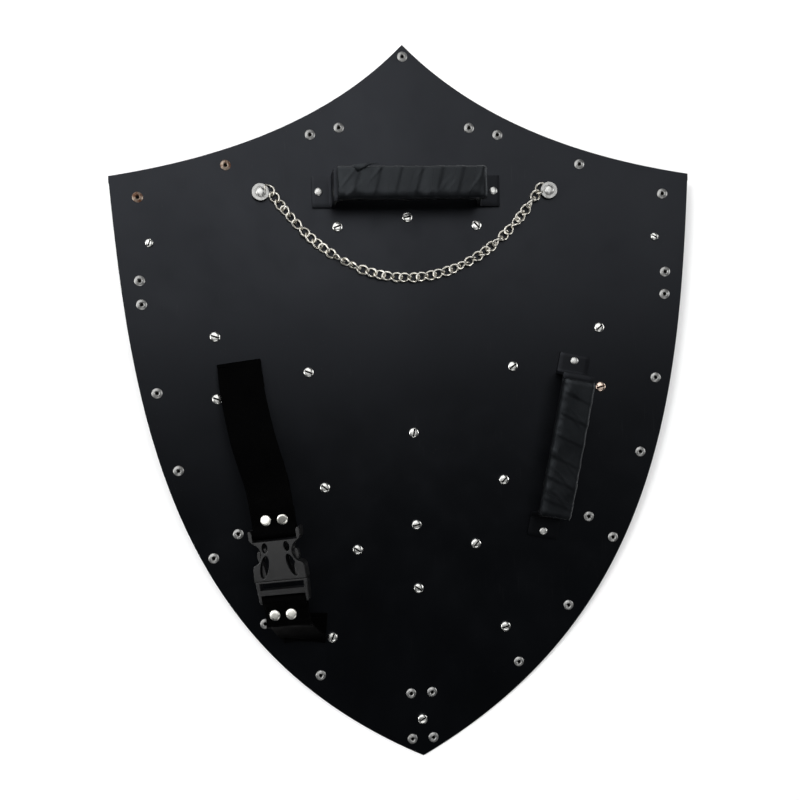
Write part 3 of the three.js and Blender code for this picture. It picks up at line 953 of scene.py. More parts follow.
@dataclass
class Studio:
    """Pale floor, soft lights and the camera. Sizes are in metres."""

    floor_side: float = 9.0
    floor_gap: float = 0.0004
    sky: float = 0.035
    backdrop: float = 0.95
    camera_place: tuple[float, float, float] = (-0.1065, 0.0253, 0.8313)
    pitch: float = 1.45
    yaw: float = 6.46
    roll: float = 1.79
    lens: float = 38.25
    near_clip: float = 0.02
    lamps: tuple[Lamp, ...] = (
        Lamp("overhead_softbox", (-1.25, 1.72, 1.7), (-1.25, 1.72, 0.0), (3.4, 3.1), 1.31),
        Lamp("right_fill", (2.5, 0.3, 1.0), (0.0, 0.0, 0.0), (1.6, 1.0), 3.0),
        Lamp("left_glint", (-2.3, -0.2, 1.1), (0.0, 0.0, 0.0), (1.2, 1.0), 4.5, "hardware"),
        Lamp("front_glint", (0.2, -1.6, 1.6), (0.0, 0.0, 0.0), (1.4, 0.6), 1.8, "hardware"),
        Lamp("lens_glint", (0.0, 0.15, 1.9), (0.0, 0.15, 0.0), (1.7, 1.5), 0.55, "hardware"),
        Lamp("buckle_edge", (-2.0, 0.1, 1.0), (0.0, -0.15, 0.0), (0.9, 0.8), 7.5, "buckle"),
        Lamp("buckle_face", (-1.05, -0.1, 1.2), (-0.13, -0.15, 0.0), (0.8, 0.7), 1.7, "buckle_face"),
        Lamp("tape_light", (-0.2, 2.4, 0.75), (0.0, 0.0, 0.0), (2.6, 0.5), 1.6, "tape"),
        Lamp("paper_key", (-1.15, 0.75, 2.0), (0.0, 0.0, 0.0), (0.5, 0.5), 26.0, "paper"),
        Lamp("paper_wash", (0.0, 0.0, 3.5), (0.0, 0.0, 0.0), (12.0, 12.0), 0.82, "paper"))
    hung: dict[str, list[Piece]] = field(default_factory=dict)

    def lay_floor(self, paper: Material) -> Piece:
        """Lays the paper sheet under the shield."""
        floor = begin(bpy.ops.mesh.primitive_grid_add, "floor", x_subdivisions=4, y_subdivisions=4,
                      size=self.floor_side, location=(0, 0, CAD_BOX[0].z - self.floor_gap))
        bake_place()
        floor.data.materials.append(paper)
        floor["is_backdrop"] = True
        return floor

    def light_only(self, group: str, pieces: Iterable[Piece]) -> None:
        """Keeps a group of lights to some pieces.

        Args:
            group: The group's name.
            pieces: What its lights reach.
        """
        lit = bpy.data.collections.new(f"lit_{group}")
        for piece in pieces:
            lit.objects.link(piece)
        for lamp in self.hung[group]:
            lamp.light_linking.receiver_collection = lit

    def light_up(self) -> None:
        """Hangs the lights and sets the dim surroundings."""
        for lamp in self.lamps:
            self.hung.setdefault(lamp.group, []).append(lamp.hang())
        world = bpy.data.worlds.new("surroundings")
        bpy.context.scene.world = world
        world.use_nodes = True
        recipe = Recipe(world.node_tree)
        world.node_tree.nodes.clear()
        rays = recipe.add("ShaderNodeLightPath")
        dim = recipe.add("ShaderNodeBackground", {"Color": colour(0.9, 0.95, 1.0), "Strength": self.sky})
        pale = recipe.add("ShaderNodeBackground", {"Color": colour(1.0, 1.0, 1.0),
                                                   "Strength": self.backdrop})
        mixed = recipe.add("ShaderNodeMixShader", {0: rays.outputs["Is Camera Ray"], 1: dim.outputs[0],
                                                   2: pale.outputs[0]})
        recipe.add("ShaderNodeOutputWorld", {0: mixed.outputs[0]})

    def place_camera(self) -> None:
        """Places the camera over the shield, a little left of its middle."""
        turn = (Matrix.Rotation(math.radians(self.roll), 3, "Z")
                @ Matrix.Rotation(math.radians(self.pitch), 3, "X")
                @ Matrix.Rotation(math.radians(self.yaw), 3, "Y")).transposed()
        bpy.ops.object.camera_add(location=self.camera_place, rotation=turn.to_euler())
        camera = bpy.context.object
        camera.name = "camera"
        camera.data.lens = self.lens
        camera.data.clip_start = self.near_clip
        bpy.context.scene.camera = camera

    def set_up(self, paper: Material) -> None:
        """Sets up the whole studio."""
        self.place_camera()
        floor = self.lay_floor(paper)
        self.light_up()
        self.light_only("paper", [floor])
        scene = bpy.context.scene
        scene.view_settings.view_transform = "Standard"
        scene.view_settings.look = "None"


# ---------------------------------------------------------------- plate


@dataclass
class Plate:
    """The bent sheet with its curved outline and its drilled holes. Sizes are in millimetres."""

    peak: tuple[float, float] = (0.0, 350.0)
    peak_handles: tuple[tuple[float, float], tuple[float, float]] = ((65.0, 284.0), (163.5, 242.0))
    shoulder: tuple[float, float] = (277.5, 218.5)
    side_handles: tuple[tuple[float, float], tuple[float, float]] = ((245.0, -227.5), (265.5, 12.0))
    tip: tuple[float, float] = (0.0, -350.0)
    corner_flat: float = 6.0
    columns: int = 84
    rows: int = 56
    border_row: float = 0.9
    edge_round: float = 0.3

    def top_at(self, x: float) -> float:
        """Height up the shield of the top edge at x."""
        low, high = 0.0, 1.0
        for _ in range(40):
            middle = (low + high) / 2
            if bezier(self.peak, *self.peak_handles, self.shoulder, middle)[0] < x:
                low = middle
            else:
                high = middle
        return bezier(self.peak, *self.peak_handles, self.shoulder, low)[1]

    def column(self, share: float) -> tuple[float, float, float]:
        """One column of the plate.

        Args:
            share: Its place from the middle, 0, to a shoulder, 1.

        Returns:
            Its x, the plate's lower edge and its upper edge there.
        """
        if share > 0.9999:
            return self.shoulder[0], self.shoulder[1] - self.corner_flat, self.shoulder[1]
        x, bottom = bezier(self.tip, *self.side_handles, self.shoulder, share)
        return x, bottom, self.top_at(x)

    def make_sheet(self) -> Piece:
        """Rolls the sheet to its bend and gives it its thickness."""
        sheet = begin(bpy.ops.mesh.primitive_grid_add, "plate_sheet", x_subdivisions=2 * self.columns,
                      y_subdivisions=self.rows, size=2)
        table = {step: self.column(step / self.columns) for step in range(self.columns + 1)}
        for vertex in sheet.data.vertices:
            step = round(vertex.co.x * self.columns)
            x, bottom, top = table[abs(step)]
            share = (vertex.co.y + 1) / 2
            row = round(share * self.rows)
            border = min(self.border_row / (top - bottom), 0.5 / self.rows)
            if row == 1:
                share = border
            elif row == self.rows - 1:
                share = 1 - border
            x = math.copysign(x, step)
            vertex.co = (x * MM, (bottom + share * (top - bottom)) * MM, BEND.height(x) * MM)
        modify(sheet, "SOLIDIFY", thickness=BEND.sheet * MM, offset=1, use_even_offset=False)
        rim(sheet, self.edge_round, segments=2, angle=50)
        return sheet

    def drill_holes(self, sheet: Piece, holes: Sequence[tuple[float, float, float]]) -> None:
        """Drills the sheet for its fasteners.

        Args:
            sheet: The sheet.
            holes: Place across, place up and radius of each hole.
        """
        drills = []
        for number, (x, y, radius) in enumerate(holes):
            tool = drill(f"drill_{number}", radius, -2 * BEND.sheet, BEND.sheet, sides=20)
            only(tool)
            bake_place()
            tool.data.transform(BEND.seat(x, y))
            drills.append(tool)
        cut(sheet, joined("drills", drills))

    def build(self, holes: Sequence[tuple[float, float, float]], finishes: Finishes) -> None:
        """Makes, drills and paints the plate.

        Args:
            holes: Place across, place up and radius of each hole.
            finishes: The shield's finishes.
        """
        sheet = self.make_sheet()
        self.drill_holes(sheet, holes)
        smooth(sheet, 20)
        hand_over(sheet, "plate_sheet", Slot.PLATE, finishes.plate, ["plate"])


# ---------------------------------------------------------------- screws, bolts and rivets


@dataclass(frozen=True)
class Hardware:
    """A headed fastener whose shank ends flush in the front of the plate, in millimetres."""

    shank: float
    head: float
    rise: float
    slot: float = 0.0
    slot_depth: float = 0.52
    flush: float = 0.2
    sides: int = 28
    wall: float = 0.4
    # The head's dome: each step inwards as a share of the radius, and up as a share of the rise.
    dome: tuple[tuple[float, float], ...] = ((0.05, 0.28), (0.14, 0.18), (0.22, 0.1), (0.3, 0.04))

    def make(self, name: str, under: float = 0.0) -> Piece:
        """Turns the fastener round the origin, its head standing on what it clamps.

        Args:
            name: The new object's name.
            under: Height of the clamped pieces over the plate.

        Returns:
            The fastener.
        """
        wall = self.wall * self.rise
        piece = begin(bpy.ops.mesh.primitive_cylinder_add, name, vertices=self.sides,
                      radius=self.head * MM, depth=wall * MM, location=(0, 0, (under + wall / 2) * MM))
        bake_place()
        with editing(piece):
            pick_faces(piece, lambda middle, normal: normal.z > 0.9)
            for inward, rise in self.dome:
                step_face(inward * self.head, rise * self.rise)
            pick_faces(piece, lambda middle, normal: normal.z < -0.9)
            step_face(self.head - self.shank, 0)
            step_face(0, under + BEND.sheet - self.flush)
        if self.slot:
            top = under + self.rise
            low = top - self.slot_depth * self.rise
            cut(piece, block("slot", (-9, -self.slot / 2, low), (9, self.slot / 2, top + 3)))
        rim(piece, 0.12, segments=1, angle=50)
        smooth(piece, 35)
        return piece

    def painted_slot_shade(self) -> Piece:
        """A dark block in the bottom of a screw's slot: painted shade."""
        floor = self.rise * (1 - self.slot_depth)
        reach, half = 0.8 * self.head, self.slot / 2 - 0.05
        return block("painted_slot_shade", (-reach, -half, floor - 0.1), (reach, half, floor + 0.35))


@dataclass(frozen=True)
class BlindRivet:
    """A blind rivet: a domed flange with a raised lip round an open barrel, in millimetres."""

    flange: float = 4.9
    lip: float = 2.75
    bore: float = 1.6
    shank: float = 1.7
    flush: float = 0.2

    def make(self, name: str) -> Piece:
        """Turns the rivet round the origin."""
        bottom = self.flush - BEND.sheet
        profile = [(0.0, bottom), (self.shank, bottom), (self.shank, 0.02), (self.flange, 0.02),
                   (self.flange, 0.4), (self.flange - 0.25, 0.66), (self.lip + 0.55, 0.95),
                   (self.lip + 0.3, 1.05), (self.lip + 0.12, 1.42), (self.lip - 0.2, 1.55),
                   (self.lip - 0.5, 1.45), (self.bore + 0.1, 0.95), (self.bore, 0.7),
                   (self.bore - 0.3, -1.1), (0.0, -1.1)]
        piece = turned(name, profile, steps=28)
        smooth(piece, 40)
        return piece

    def painted_hollow_shade(self) -> Piece:
        """A dark disc in the bottom of its barrel: painted shade."""
        return drill("painted_hollow_shade", self.bore - 0.12, -1.2, 0.1)


@dataclass
class Fasteners:
    """Every screw, bolt, washer and rivet that goes through the plate. Sizes are in millimetres."""

    finishes: Finishes
    screw: Hardware = Hardware(shank=2.4, head=4.9, rise=3.1, slot=1.5)
    small_screw: Hardware = Hardware(shank=1.9, head=3.9, rise=2.5, slot=1.1)
    grip_bolt: Hardware = Hardware(shank=1.9, head=3.8, rise=2.2)
    chain_bolt: Hardware = Hardware(shank=1.9, head=4.4, rise=2.8)
    rivet: BlindRivet = BlindRivet()
    clearance: float = 0.3
    grip_bolt_base: float = 3.3
    chain_bolt_base: float = 4.5
    rivet_pairs: tuple[tuple[float, float], ...] = (
        (92.0, 262.5), (64.0, 269.5), (172.5, 232.0), (252.5, 200.0), (253.5, 123.0), (252.5, 101.0),
        (242.0, 18.5), (225.5, -55.0), (196.5, -140.0), (173.0, -118.5), (99.0, -262.0),
        (10.5, -287.0), (10.5, -332.5), (150.5, -207.0))
    peak_rivet: tuple[float, float] = (0.0, 338.5)
    rusty: tuple[tuple[float, float], ...] = ((-172.5, 232.0), (-252.5, 200.0))
    warm_screw: str = "screw_flank_low_right"
    # Turns about their own axes, in degrees, in the order of the nodes' names.
    screw_turns: tuple[float, ...] = (12, 80, -35, 28, 10, -20, 40, -22, 15, -22, 35, -35, 50, -40, 45, 70,
                                      20, 20, -48)
    shoulder_turns: tuple[float, ...] = (70, -30)
    grip_bolt_turns: tuple[float, ...] = (0, 12, 25)
    chain_bolt_turns: tuple[float, ...] = (0, 10)
    rivet_seed: int = 5

    def rivet_places(self) -> list[tuple[float, float]]:
        """Where the border rivets stand."""
        places = [(side * x, y) for x, y in self.rivet_pairs for side in (-1, 1)]
        return places + [self.peak_rivet]

    def node_names(self, start: str) -> list[str]:
        """Nodes whose names begin so, in order."""
        return sorted(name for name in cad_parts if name.startswith(start))

    def holes(self) -> list[tuple[float, float, float]]:
        """Place and radius of every hole in the plate."""
        found = []
        for start, kind in (("screw_shoulder", self.small_screw), ("screw_", self.screw),
                            ("top_grip_bolt", self.grip_bolt), ("side_grip_bolt", self.grip_bolt),
                            ("chain_bolt", self.chain_bolt)):
            for name in self.node_names(start):
                if start == "screw_" and name.startswith("screw_shoulder"):
                    continue
                middle = middle_of(name)
                found.append((middle.x, middle.y, kind.shank + self.clearance))
        return found + [(x, y, self.rivet.shank + 0.15) for x, y in self.rivet_places()]

    def seats(self, names: Sequence[str], turns: Sequence[float]) -> list[tuple[str, Matrix]]:
        """Each node's seat on the plate.

        Args:
            names: The nodes.
            turns: Turn of each one about its own axis, in degrees, used over again.

        Returns:
            Name and seat of each node.
        """
        found = []
        for number, name in enumerate(names):
            middle = middle_of(name)
            turn = math.radians(turns[number % len(turns)])
            found.append((name, BEND.seat(middle.x, middle.y, turn)))
        return found

    def set_down(self, master: Piece, names: Sequence[str], slot: Slot,
                 finish: Material, turns: Sequence[float]) -> None:
        """Copies a master fastener to each node's place.

        Args:
            master: The fastener at the origin.
            names: The nodes it stands for.
            slot: The record's slot.
            finish: Its material.
            turns: Turn of each copy about its own axis, in degrees, used over again.
        """
        for name, seat in self.seats(names, turns):
            coat = self.finishes.warm if name == self.warm_screw else finish
            hand_over(copy_of(master, f"{name}_piece", seat), f"{name}_piece", slot, coat, [name])
        throw_away(master)

    def paint_slot_shade(self, screw: Hardware, names: Sequence[str],
                turns: Sequence[float]) -> list[Piece]:
        """Puts dark blocks of painted shade in the slots of screws.

        Args:
            screw: The kind of screw.
            names: Their nodes.
            turns: Turn of each one, in degrees, used over again.

        Returns:
            The pieces of dirt.
        """
        master = screw.painted_slot_shade()
        found = [copy_of(master, "painted_slot_shade", seat) for _, seat in self.seats(names, turns)]
        throw_away(master)
        return found

    def build(self) -> None:
        """Makes and places all of them."""
        finishes = self.finishes
        screws = [name for name in self.node_names("screw_") if "shoulder" not in name]
        shoulder_screws = self.node_names("screw_shoulder")
        self.set_down(self.screw.make("screw"), screws, Slot.SCREW, finishes.zinc, self.screw_turns)
        self.set_down(self.small_screw.make("small_screw"), shoulder_screws, Slot.SCREW, finishes.zinc,
                      self.shoulder_turns)
        # Dark blocks in the screws' slots stand for their shade: painted shade.
        shade_pieces = self.paint_slot_shade(self.screw, screws, self.screw_turns)
        shade_pieces += self.paint_slot_shade(self.small_screw, shoulder_screws, self.shoulder_turns)
        hand_over(joined("painted_slot_shade", shade_pieces), "painted_slot_shade", Slot.SCREW, finishes.shade)
        self.set_down(self.grip_bolt.make("grip_bolt", self.grip_bolt_base),
                      self.node_names("top_grip_bolt") + self.node_names("side_grip_bolt"), Slot.BOLT,
                      finishes.bolt, self.grip_bolt_turns)
        self.set_down(self.chain_bolt.make("chain_bolt", self.chain_bolt_base),
                      self.node_names("chain_bolt"), Slot.NICKEL, finishes.bolt, self.chain_bolt_turns)
        self.set_border_rivets()

    def set_border_rivets(self) -> None:
        """Sets the rivets round the border."""
        master = self.rivet.make("border_rivet")
        # Dark discs in the rivets' barrels: painted shade.
        plug = self.rivet.painted_hollow_shade()
        shade_pieces = [copy_of(plug, "painted_hollow_shade", BEND.seat(x, y)) for x, y in self.rivet_places()]
        throw_away(plug)
        hand_over(joined("painted_hollow_shade", shade_pieces), "painted_hollow_shade", Slot.SCREW, self.finishes.shade)
        dice = random.Random(self.rivet_seed)
        for number, (x, y) in enumerate(self.rivet_places()):
            finish = self.finishes.rusty if (x, y) in self.rusty else self.finishes.rivet
            seat = BEND.seat(x, y, dice.uniform(0, math.tau))
            name = f"border_rivet_{number + 1:02d}"
            hand_over(copy_of(master, name, seat), name, Slot.SCREW, finish)
        throw_away(master)


# ---------------------------------------------------------------- chain


@dataclass
class Chain:
    """A curb chain hung between two washers. Sizes are in millimetres."""

    sag: float = 86.0
    hang: float = 1.55
    hook_inward: float = 8.0
    hook_up: float = 3.0
    wire: float = 2.3
    length: float = 13.6
    width: float = 10.6
    pitch: float = 8.45
    reach: float = 1.2
    curb_twist: float = 42.0
    turn_about: float = 17.0
    clearance: float = 0.3
    washer_radius: float = 8.2
    washer_bore: float = 2.4
    washer_thickness: float = 1.5
    washer_bevel: float = 0.25
    washer_lift: float = 2.1
    # The groove turned in the washer's face: radius and height under the face, from outside in.
    washer_groove: tuple[tuple[float, float], ...] = ((5.4, 0.0), (5.2, 0.3), (4.9, 0.3), (4.7, 0.0))
    samples: int = 400
    steady_roll: float = 14.0
    steady_ends: float = 18.0
    # Where links have rolled over: share of the length, spread and roll in degrees.
    rolls: tuple[tuple[float, float, float], ...] = (
        (0.1, 0.022, 48.0), (0.17, 0.016, -58.0), (0.3, 0.05, 66.0), (0.385, 0.02, -50.0),
        (0.665, 0.016, 64.0), (0.74, 0.016, -62.0), (0.8, 0.013, 52.0), (0.88, 0.017, -60.0),
        (0.95, 0.015, 55.0))

    def __post_init__(self) -> None:
        """Reads the two anchor bolts' places from the fixed model."""
        left, right = middle_of("chain_bolt_left"), middle_of("chain_bolt_right")
        self.top = left.y + self.hook_up
        self.half_span = (right.x - left.x) / 2 - self.hook_inward

    def route(self, share: float) -> Vector:
        """A point of the hanging curve, share running from -1 to 1."""
        drop = 1 - (math.cosh(self.hang * share) - 1) / (math.cosh(self.hang) - 1)
        return Vector((share * self.half_span, self.top - self.sag * drop))

    def stations(self) -> list[tuple[Vector, Vector, float]]:
        """Link centres at equal steps along the route.

        Returns:
            Centre, direction and share of the length for each link.
        """
        count = self.samples
        points = [self.route(2 * i / count - 1) for i in range(count + 1)]
        lengths = [0.0]
        for a, b in zip(points, points[1:]):
            lengths.append(lengths[-1] + (b - a).length)
        total = lengths[-1]
        steps = round((total - 2 * self.reach) / self.pitch)
        found = []
        for step in range(steps + 1):
            target = self.reach + (total - 2 * self.reach) * step / steps
            index = min(count - 1, max(i for i, value in enumerate(lengths) if value <= target))
            part = (target - lengths[index]) / (lengths[index + 1] - lengths[index])
            along = (points[index + 1] - points[index]).normalized()
            found.append((points[index].lerp(points[index + 1], part), along, step / steps))
        return found

    def make_link(self) -> Piece:
        """Bends one curb link round the origin, its length along X."""
        link = begin(bpy.ops.mesh.primitive_torus_add, "link", major_segments=32, minor_segments=10,
                     major_radius=1.0, minor_radius=0.5)
        half_x, half_y = (self.length - self.wire) / 2, (self.width - self.wire) / 2
        for vertex in link.data.vertices:
            angle = math.atan2(vertex.co.y, vertex.co.x)
            out = (math.hypot(vertex.co.x, vertex.co.y) - 1) * self.wire
            place = Vector((math.cos(angle) * (half_x + out), math.sin(angle) * (half_y + out),
                            vertex.co.z * self.wire))
            curb = Matrix.Rotation(math.radians(self.curb_twist) * place.x / half_x, 3, "X")
            vertex.co = (curb @ place) * MM
        smooth(link, 80)
        return link

    def roll_at(self, share: float) -> float:
        """How far a link has rolled about the chain, in degrees."""
        return self.steady_roll + sum(roll * math.exp(-(((share - place) / spread) ** 2))
                                      for place, spread, roll in self.rolls)

    def lay_links(self) -> Piece:
        """Copies the link along the route, each one resting on the plate, and joins them."""
        master = self.make_link()
        links = []
        for number, (centre, along, share) in enumerate(self.stations()):
            end = min(1.0, min(share, 1 - share) * self.steady_ends)
            about = self.turn_about if number % 2 else -self.turn_about
            roll = math.radians((self.roll_at(share) + about) * end)
            turn = Matrix.Rotation(math.atan2(along.y, along.x), 4, "Z") @ Matrix.Rotation(roll, 4, "X")
            lowest = min((turn @ vertex.co).z for vertex in master.data.vertices) / MM
            seat = BEND.seat(centre.x, centre.y, lift=self.clearance - lowest)
            links.append(copy_of(master, f"link_{number}", seat @ turn))
        throw_away(master)
        return joined("chain_links", links)

    def build(self, finishes: Finishes) -> None:
        """Makes the chain and its washers."""
        hand_over(self.lay_links(), "chain_links", Slot.NICKEL, finishes.nickel, ["chain"])
        low, high, bevel = 0.0, self.washer_thickness, self.washer_bevel
        groove = [(radius, high - depth) for radius, depth in self.washer_groove]
        washer = turned("washer", [(self.washer_bore, low), (self.washer_radius - bevel, low),
                                   (self.washer_radius, low + bevel), (self.washer_radius, high - bevel),
                                   (self.washer_radius - bevel, high), *groove,
                                   (self.washer_bore, high)], 40)
        smooth(washer, 30)
        for side in ("left", "right"):
            bolt = middle_of(f"chain_bolt_{side}")
            seat = BEND.seat(bolt.x, bolt.y, lift=self.washer_lift + 3 * self.clearance)
            name = f"chain_washer_{side}"
            hand_over(copy_of(washer, f"{name}_piece", seat), f"{name}_piece", Slot.NICKEL,
                      finishes.rivet, [name])
        throw_away(washer)


# ---------------------------------------------------------------- grips


def rounded_path(corners: Sequence[Vector], radii: Sequence[float], step: float) -> list[Vector]:
    """A path through corners with its bends rounded.

    Args:
        corners: The path's corners in millimetres, in one plane.
        radii: Bend radius at each corner; the two ends' are not used.
        step: Longest run between points on the straights.

    Returns:
        The path's points.
    """
    path = [corners[0]]
    for before, corner, after, radius in zip(corners, corners[1:], corners[2:], radii[1:]):
        back, ahead = (before - corner).normalized(), (after - corner).normalized()
        half = back.angle(ahead) / 2
        reach = radius / math.tan(half)
        start, end = corner + back * reach, corner + ahead * reach
        centre = corner + (back + ahead).normalized() * radius / math.sin(half)
        runs = max(1, int((start - path[-1]).length / step))
        path += [path[-1].lerp(start, i / runs) for i in range(1, runs + 1)]
        first, last = start - centre, end - centre
        for i in range(1, 9):
            path.append(centre + first.slerp(last, i / 8))
    runs = max(1, int((corners[-1] - path[-1]).length / step))
    last = path[-1]
    return path + [last.lerp(corners[-1], i / runs) for i in range(1, runs + 1)]


@dataclass(frozen=True)
class RoundedSection:
    """A rounded rectangle, gone round by distance. Sizes are in millimetres."""

    half_width: float
    half_height: float
    corner: float

    def length(self) -> float:
        """Distance once round."""
        straight = 4 * (self.half_width + self.half_height - 2 * self.corner)
        return straight + 2 * math.pi * self.corner

    def at(self, distance: float) -> tuple[float, float, float]:
        """A point on the section.

        Args:
            distance: Distance round from the middle of its lower side, through its lower right corner.

        Returns:
            Across, up, and the angle of the outward normal from across, in radians.
        """
        distance %= self.length()
        flat_x, flat_y = self.half_width - self.corner, self.half_height - self.corner
        quarter = math.pi * self.corner / 2
        runs = ((flat_x, None), (quarter, (flat_x, -flat_y, -0.5)), (2 * flat_y, None),
                (quarter, (flat_x, flat_y, 0.0)), (2 * flat_x, None), (quarter, (-flat_x, flat_y, 0.5)),
                (2 * flat_y, None), (quarter, (-flat_x, -flat_y, 1.0)), (flat_x, None))
        straights = {0: (0.0, -self.half_height, 1, 0), 2: (self.half_width, -flat_y, 0, 1),
                     4: (flat_x, self.half_height, -1, 0), 6: (-self.half_width, flat_y, 0, -1),
                     8: (-flat_x, -self.half_height, 1, 0)}
        for index, (run, arc) in enumerate(runs):
            if distance <= run or index == 8:
                break
            distance -= run
        if arc:
            angle = arc[2] * math.pi + distance / self.corner
            return arc[0] + self.corner * math.cos(angle), arc[1] + self.corner * math.sin(angle), angle
        x, y, along_x, along_y = straights[index]
        return x + along_x * distance, y + along_y * distance, math.atan2(-along_x, along_y)


@dataclass
class TapeWrap:
    """Tape wound round a bar in overlapping turns. X runs along the bar. Sizes are in millimetres."""

    start: float
    end: float
    middle_height: float
    seed: int
    pitch: float = 19.4
    tape_width: float = 27.0
    tape_thickness: float = 0.5
    section: RoundedSection = RoundedSection(15.3, 3.85, 3.0)
    edge_droop: float = 0.034
    end_droop: float = 1.1
    around: int = 96
    across: int = 22
    loose_end: tuple[tuple[float, float], ...] = ()
    loose_lift: float = 0.45
    loose_lean: float = 3.5
    lead: float = 1.15
    lap_lift: float = 0.38
    wander: float = 0.7
    end_run: float = 4.0
    droop_from: float = 7.5
    scallop: float = 2.2

    def crease(self, x: float, y: float, z: float) -> float:
        """Height of the tape's creases and lumps at a point."""
        place = Vector((x, y, z + 40.0 * self.seed))
        lumps = noise.noise(place * 0.06) * 0.3
        folds = noise.noise(Vector((x * 0.2 - y * 0.16, y * 0.05, z * 0.1 + self.seed)))
        return lumps + max(0.0, folds - 0.18) * 0.5

    def place(self, distance: float, width: float) -> Vector:
        """A point of the tape's middle surface.

        Args:
            distance: Distance wound along the tape's run round the bar.
            width: Place across the tape, 0 at its middle.

        Returns:
            The point, in the grip's frame.
        """
        turns = distance / self.section.length()
        y, z, angle = self.section.at(-distance)
        x = self.start + self.tape_width / 2 + self.pitch * turns + width
        x += self.wander * noise.noise(Vector((turns * 3.1, self.seed, 0.0)))
        x = max(self.start, min(self.end, x))
        left = (width + self.tape_width / 2) / (self.tape_width - self.pitch)
        over = 1.0 - min(1.0, max(0.0, left - 0.75) / 0.5)
        lift = self.lap_lift * over * over * (3 - 2 * over) + self.crease(x, y, z)
        lift -= self.end_droop * max(0.0, 1 - min(x - self.start, self.end - x) / self.end_run) ** 2
        if z > 0:
            scallop = self.scallop * noise.noise(Vector((x * 0.11, self.seed, 3.0)))
            z -= self.edge_droop * max(0.0, -y - self.droop_from - scallop) ** 2
        outward = Vector((0, math.cos(angle), math.sin(angle)))
        return Vector((x, y, z)) + outward * lift

    def make_tape(self) -> Piece:
        """Winds the tape and gives it its thickness."""
        turns = (self.end - self.start - self.tape_width) / self.pitch
        run = (turns + 2 * self.lead) * self.section.length()
        steps = int(self.around * (turns + 2 * self.lead))
        tape = begin(bpy.ops.mesh.primitive_grid_add, "tape", x_subdivisions=steps,
                     y_subdivisions=self.across, size=2, calc_uvs=True)
        shape = tape.data
        uvs = shape.uv_layers.active.data
        for loop in shape.loops:
            co = shape.vertices[loop.vertex_index].co
            uvs[loop.index].uv = (co.y * self.tape_width / 2 * MM, (co.x + 1) / 2 * run * MM)
        for vertex in shape.vertices:
            distance = (vertex.co.x + 1) / 2 * run - self.lead * self.section.length()
            vertex.co = self.place(distance, vertex.co.y * self.tape_width / 2) * MM
        modify(tape, "SOLIDIFY", thickness=self.tape_thickness * MM, offset=0)
        return tape

    def make_core(self) -> Piece:
        """The padding under the tape."""
        slim = RoundedSection(self.section.half_width - 0.9, self.section.half_height - 1.3,
                              self.section.corner - 0.9)
        corners = [slim.at(slim.length() * i / 48)[:2] for i in range(48)]
        core = cut_plate("core", corners, self.start + 0.6, self.end - 0.6)
        core.data.transform(Matrix(((0, 0, 1, 0), (1, 0, 0, 0), (0, 1, 0, 0), (0, 0, 0, 1))))
        rim(core, 0.8, segments=2, angle=60)
        return core

    def make_loose_end(self) -> Piece:
        """The cut end of the tape, lifting off the bar's upper edge."""
        end = cut_plate("loose_end", self.loose_end, 0, self.tape_thickness)
        rim(end, 0.12, segments=1, angle=50)
        lean = Matrix.Rotation(math.radians(self.loose_lean), 4, "X")
        lift = (self.section.half_height + self.loose_lift) * MM
        end.data.transform(Matrix.Translation((0, 0, lift)) @ lean)
        return end

    def build(self, grip: Matrix, name: str, finishes: Finishes, node: str) -> None:
        """Makes the wrap and sets it on its grip.

        Args:
            grip: The grip's frame in metres.
            name: The wrap's name.
            finishes: The shield's finishes.
            node: The node that it stands for.
        """
        parts = [self.make_tape(), self.make_core()]
        if self.loose_end:
            parts.append(self.make_loose_end())
        wrap = joined(name, parts)
        wrap.data.transform(grip @ Matrix.Translation((0, 0, self.middle_height * MM)))
        tidy_mesh(wrap, distance=0.001)
        smooth(wrap, 50)
        hand_over(wrap, name, Slot.TAPE, finishes.tape, [node])


@dataclass(frozen=True)
class GripBracket:
    """Flat bar bent to a bridge with two feet. X runs along the bar. Sizes are in millimetres."""

    width: float = 30.0
    thickness: float = 3.0
    bend: float = 8.0
    legs: float = 72.0
    ends: float = 92.0
    top: float = 42.0
    bolt_at: float = 86.0
    bolt_hole: float = 2.2
    foot_bend: float = 2.6

    def make(self, near: float, far: float) -> Piece:
        """Bends the bracket.

        Args:
            near: Height of a foot's underside at its leg.
            far: Height of a foot's underside at its end.

        Returns:
            The bracket, in the grip's frame.
        """
        half = self.thickness / 2
        leg = self.legs - half
        corners = [Vector((-self.ends, 0, far + half)), Vector((-leg, 0, near + half)),
                   Vector((-leg, 0, self.top - half)), Vector((leg, 0, self.top - half)),
                   Vector((leg, 0, near + half)), Vector((self.ends, 0, far + half))]
        inner = self.bend - half
        path = rounded_path(corners, (0, self.foot_bend, inner, inner, self.foot_bend, 0), step=3.0)
        bar = begin(bpy.ops.mesh.primitive_grid_add, "bracket", x_subdivisions=len(path) - 1,
                    y_subdivisions=6, size=2)
        for vertex in bar.data.vertices:
            point = path[round((vertex.co.x + 1) / 2 * (len(path) - 1))]
            vertex.co = (point.x * MM, vertex.co.y * self.width / 2 * MM, point.z * MM)
        modify(bar, "SOLIDIFY", thickness=self.thickness * MM, offset=0, use_even_offset=True)
        rim(bar, 0.45, segments=2, angle=50)
        for side in (-1, 1):
            tool = drill("bolt_hole", self.bolt_hole, -3, 9)
            tool.data.transform(Matrix.Translation((side * self.bolt_at * MM, 0, 0)))
            cut(bar, tool)
        smooth(bar, 25)
        return bar


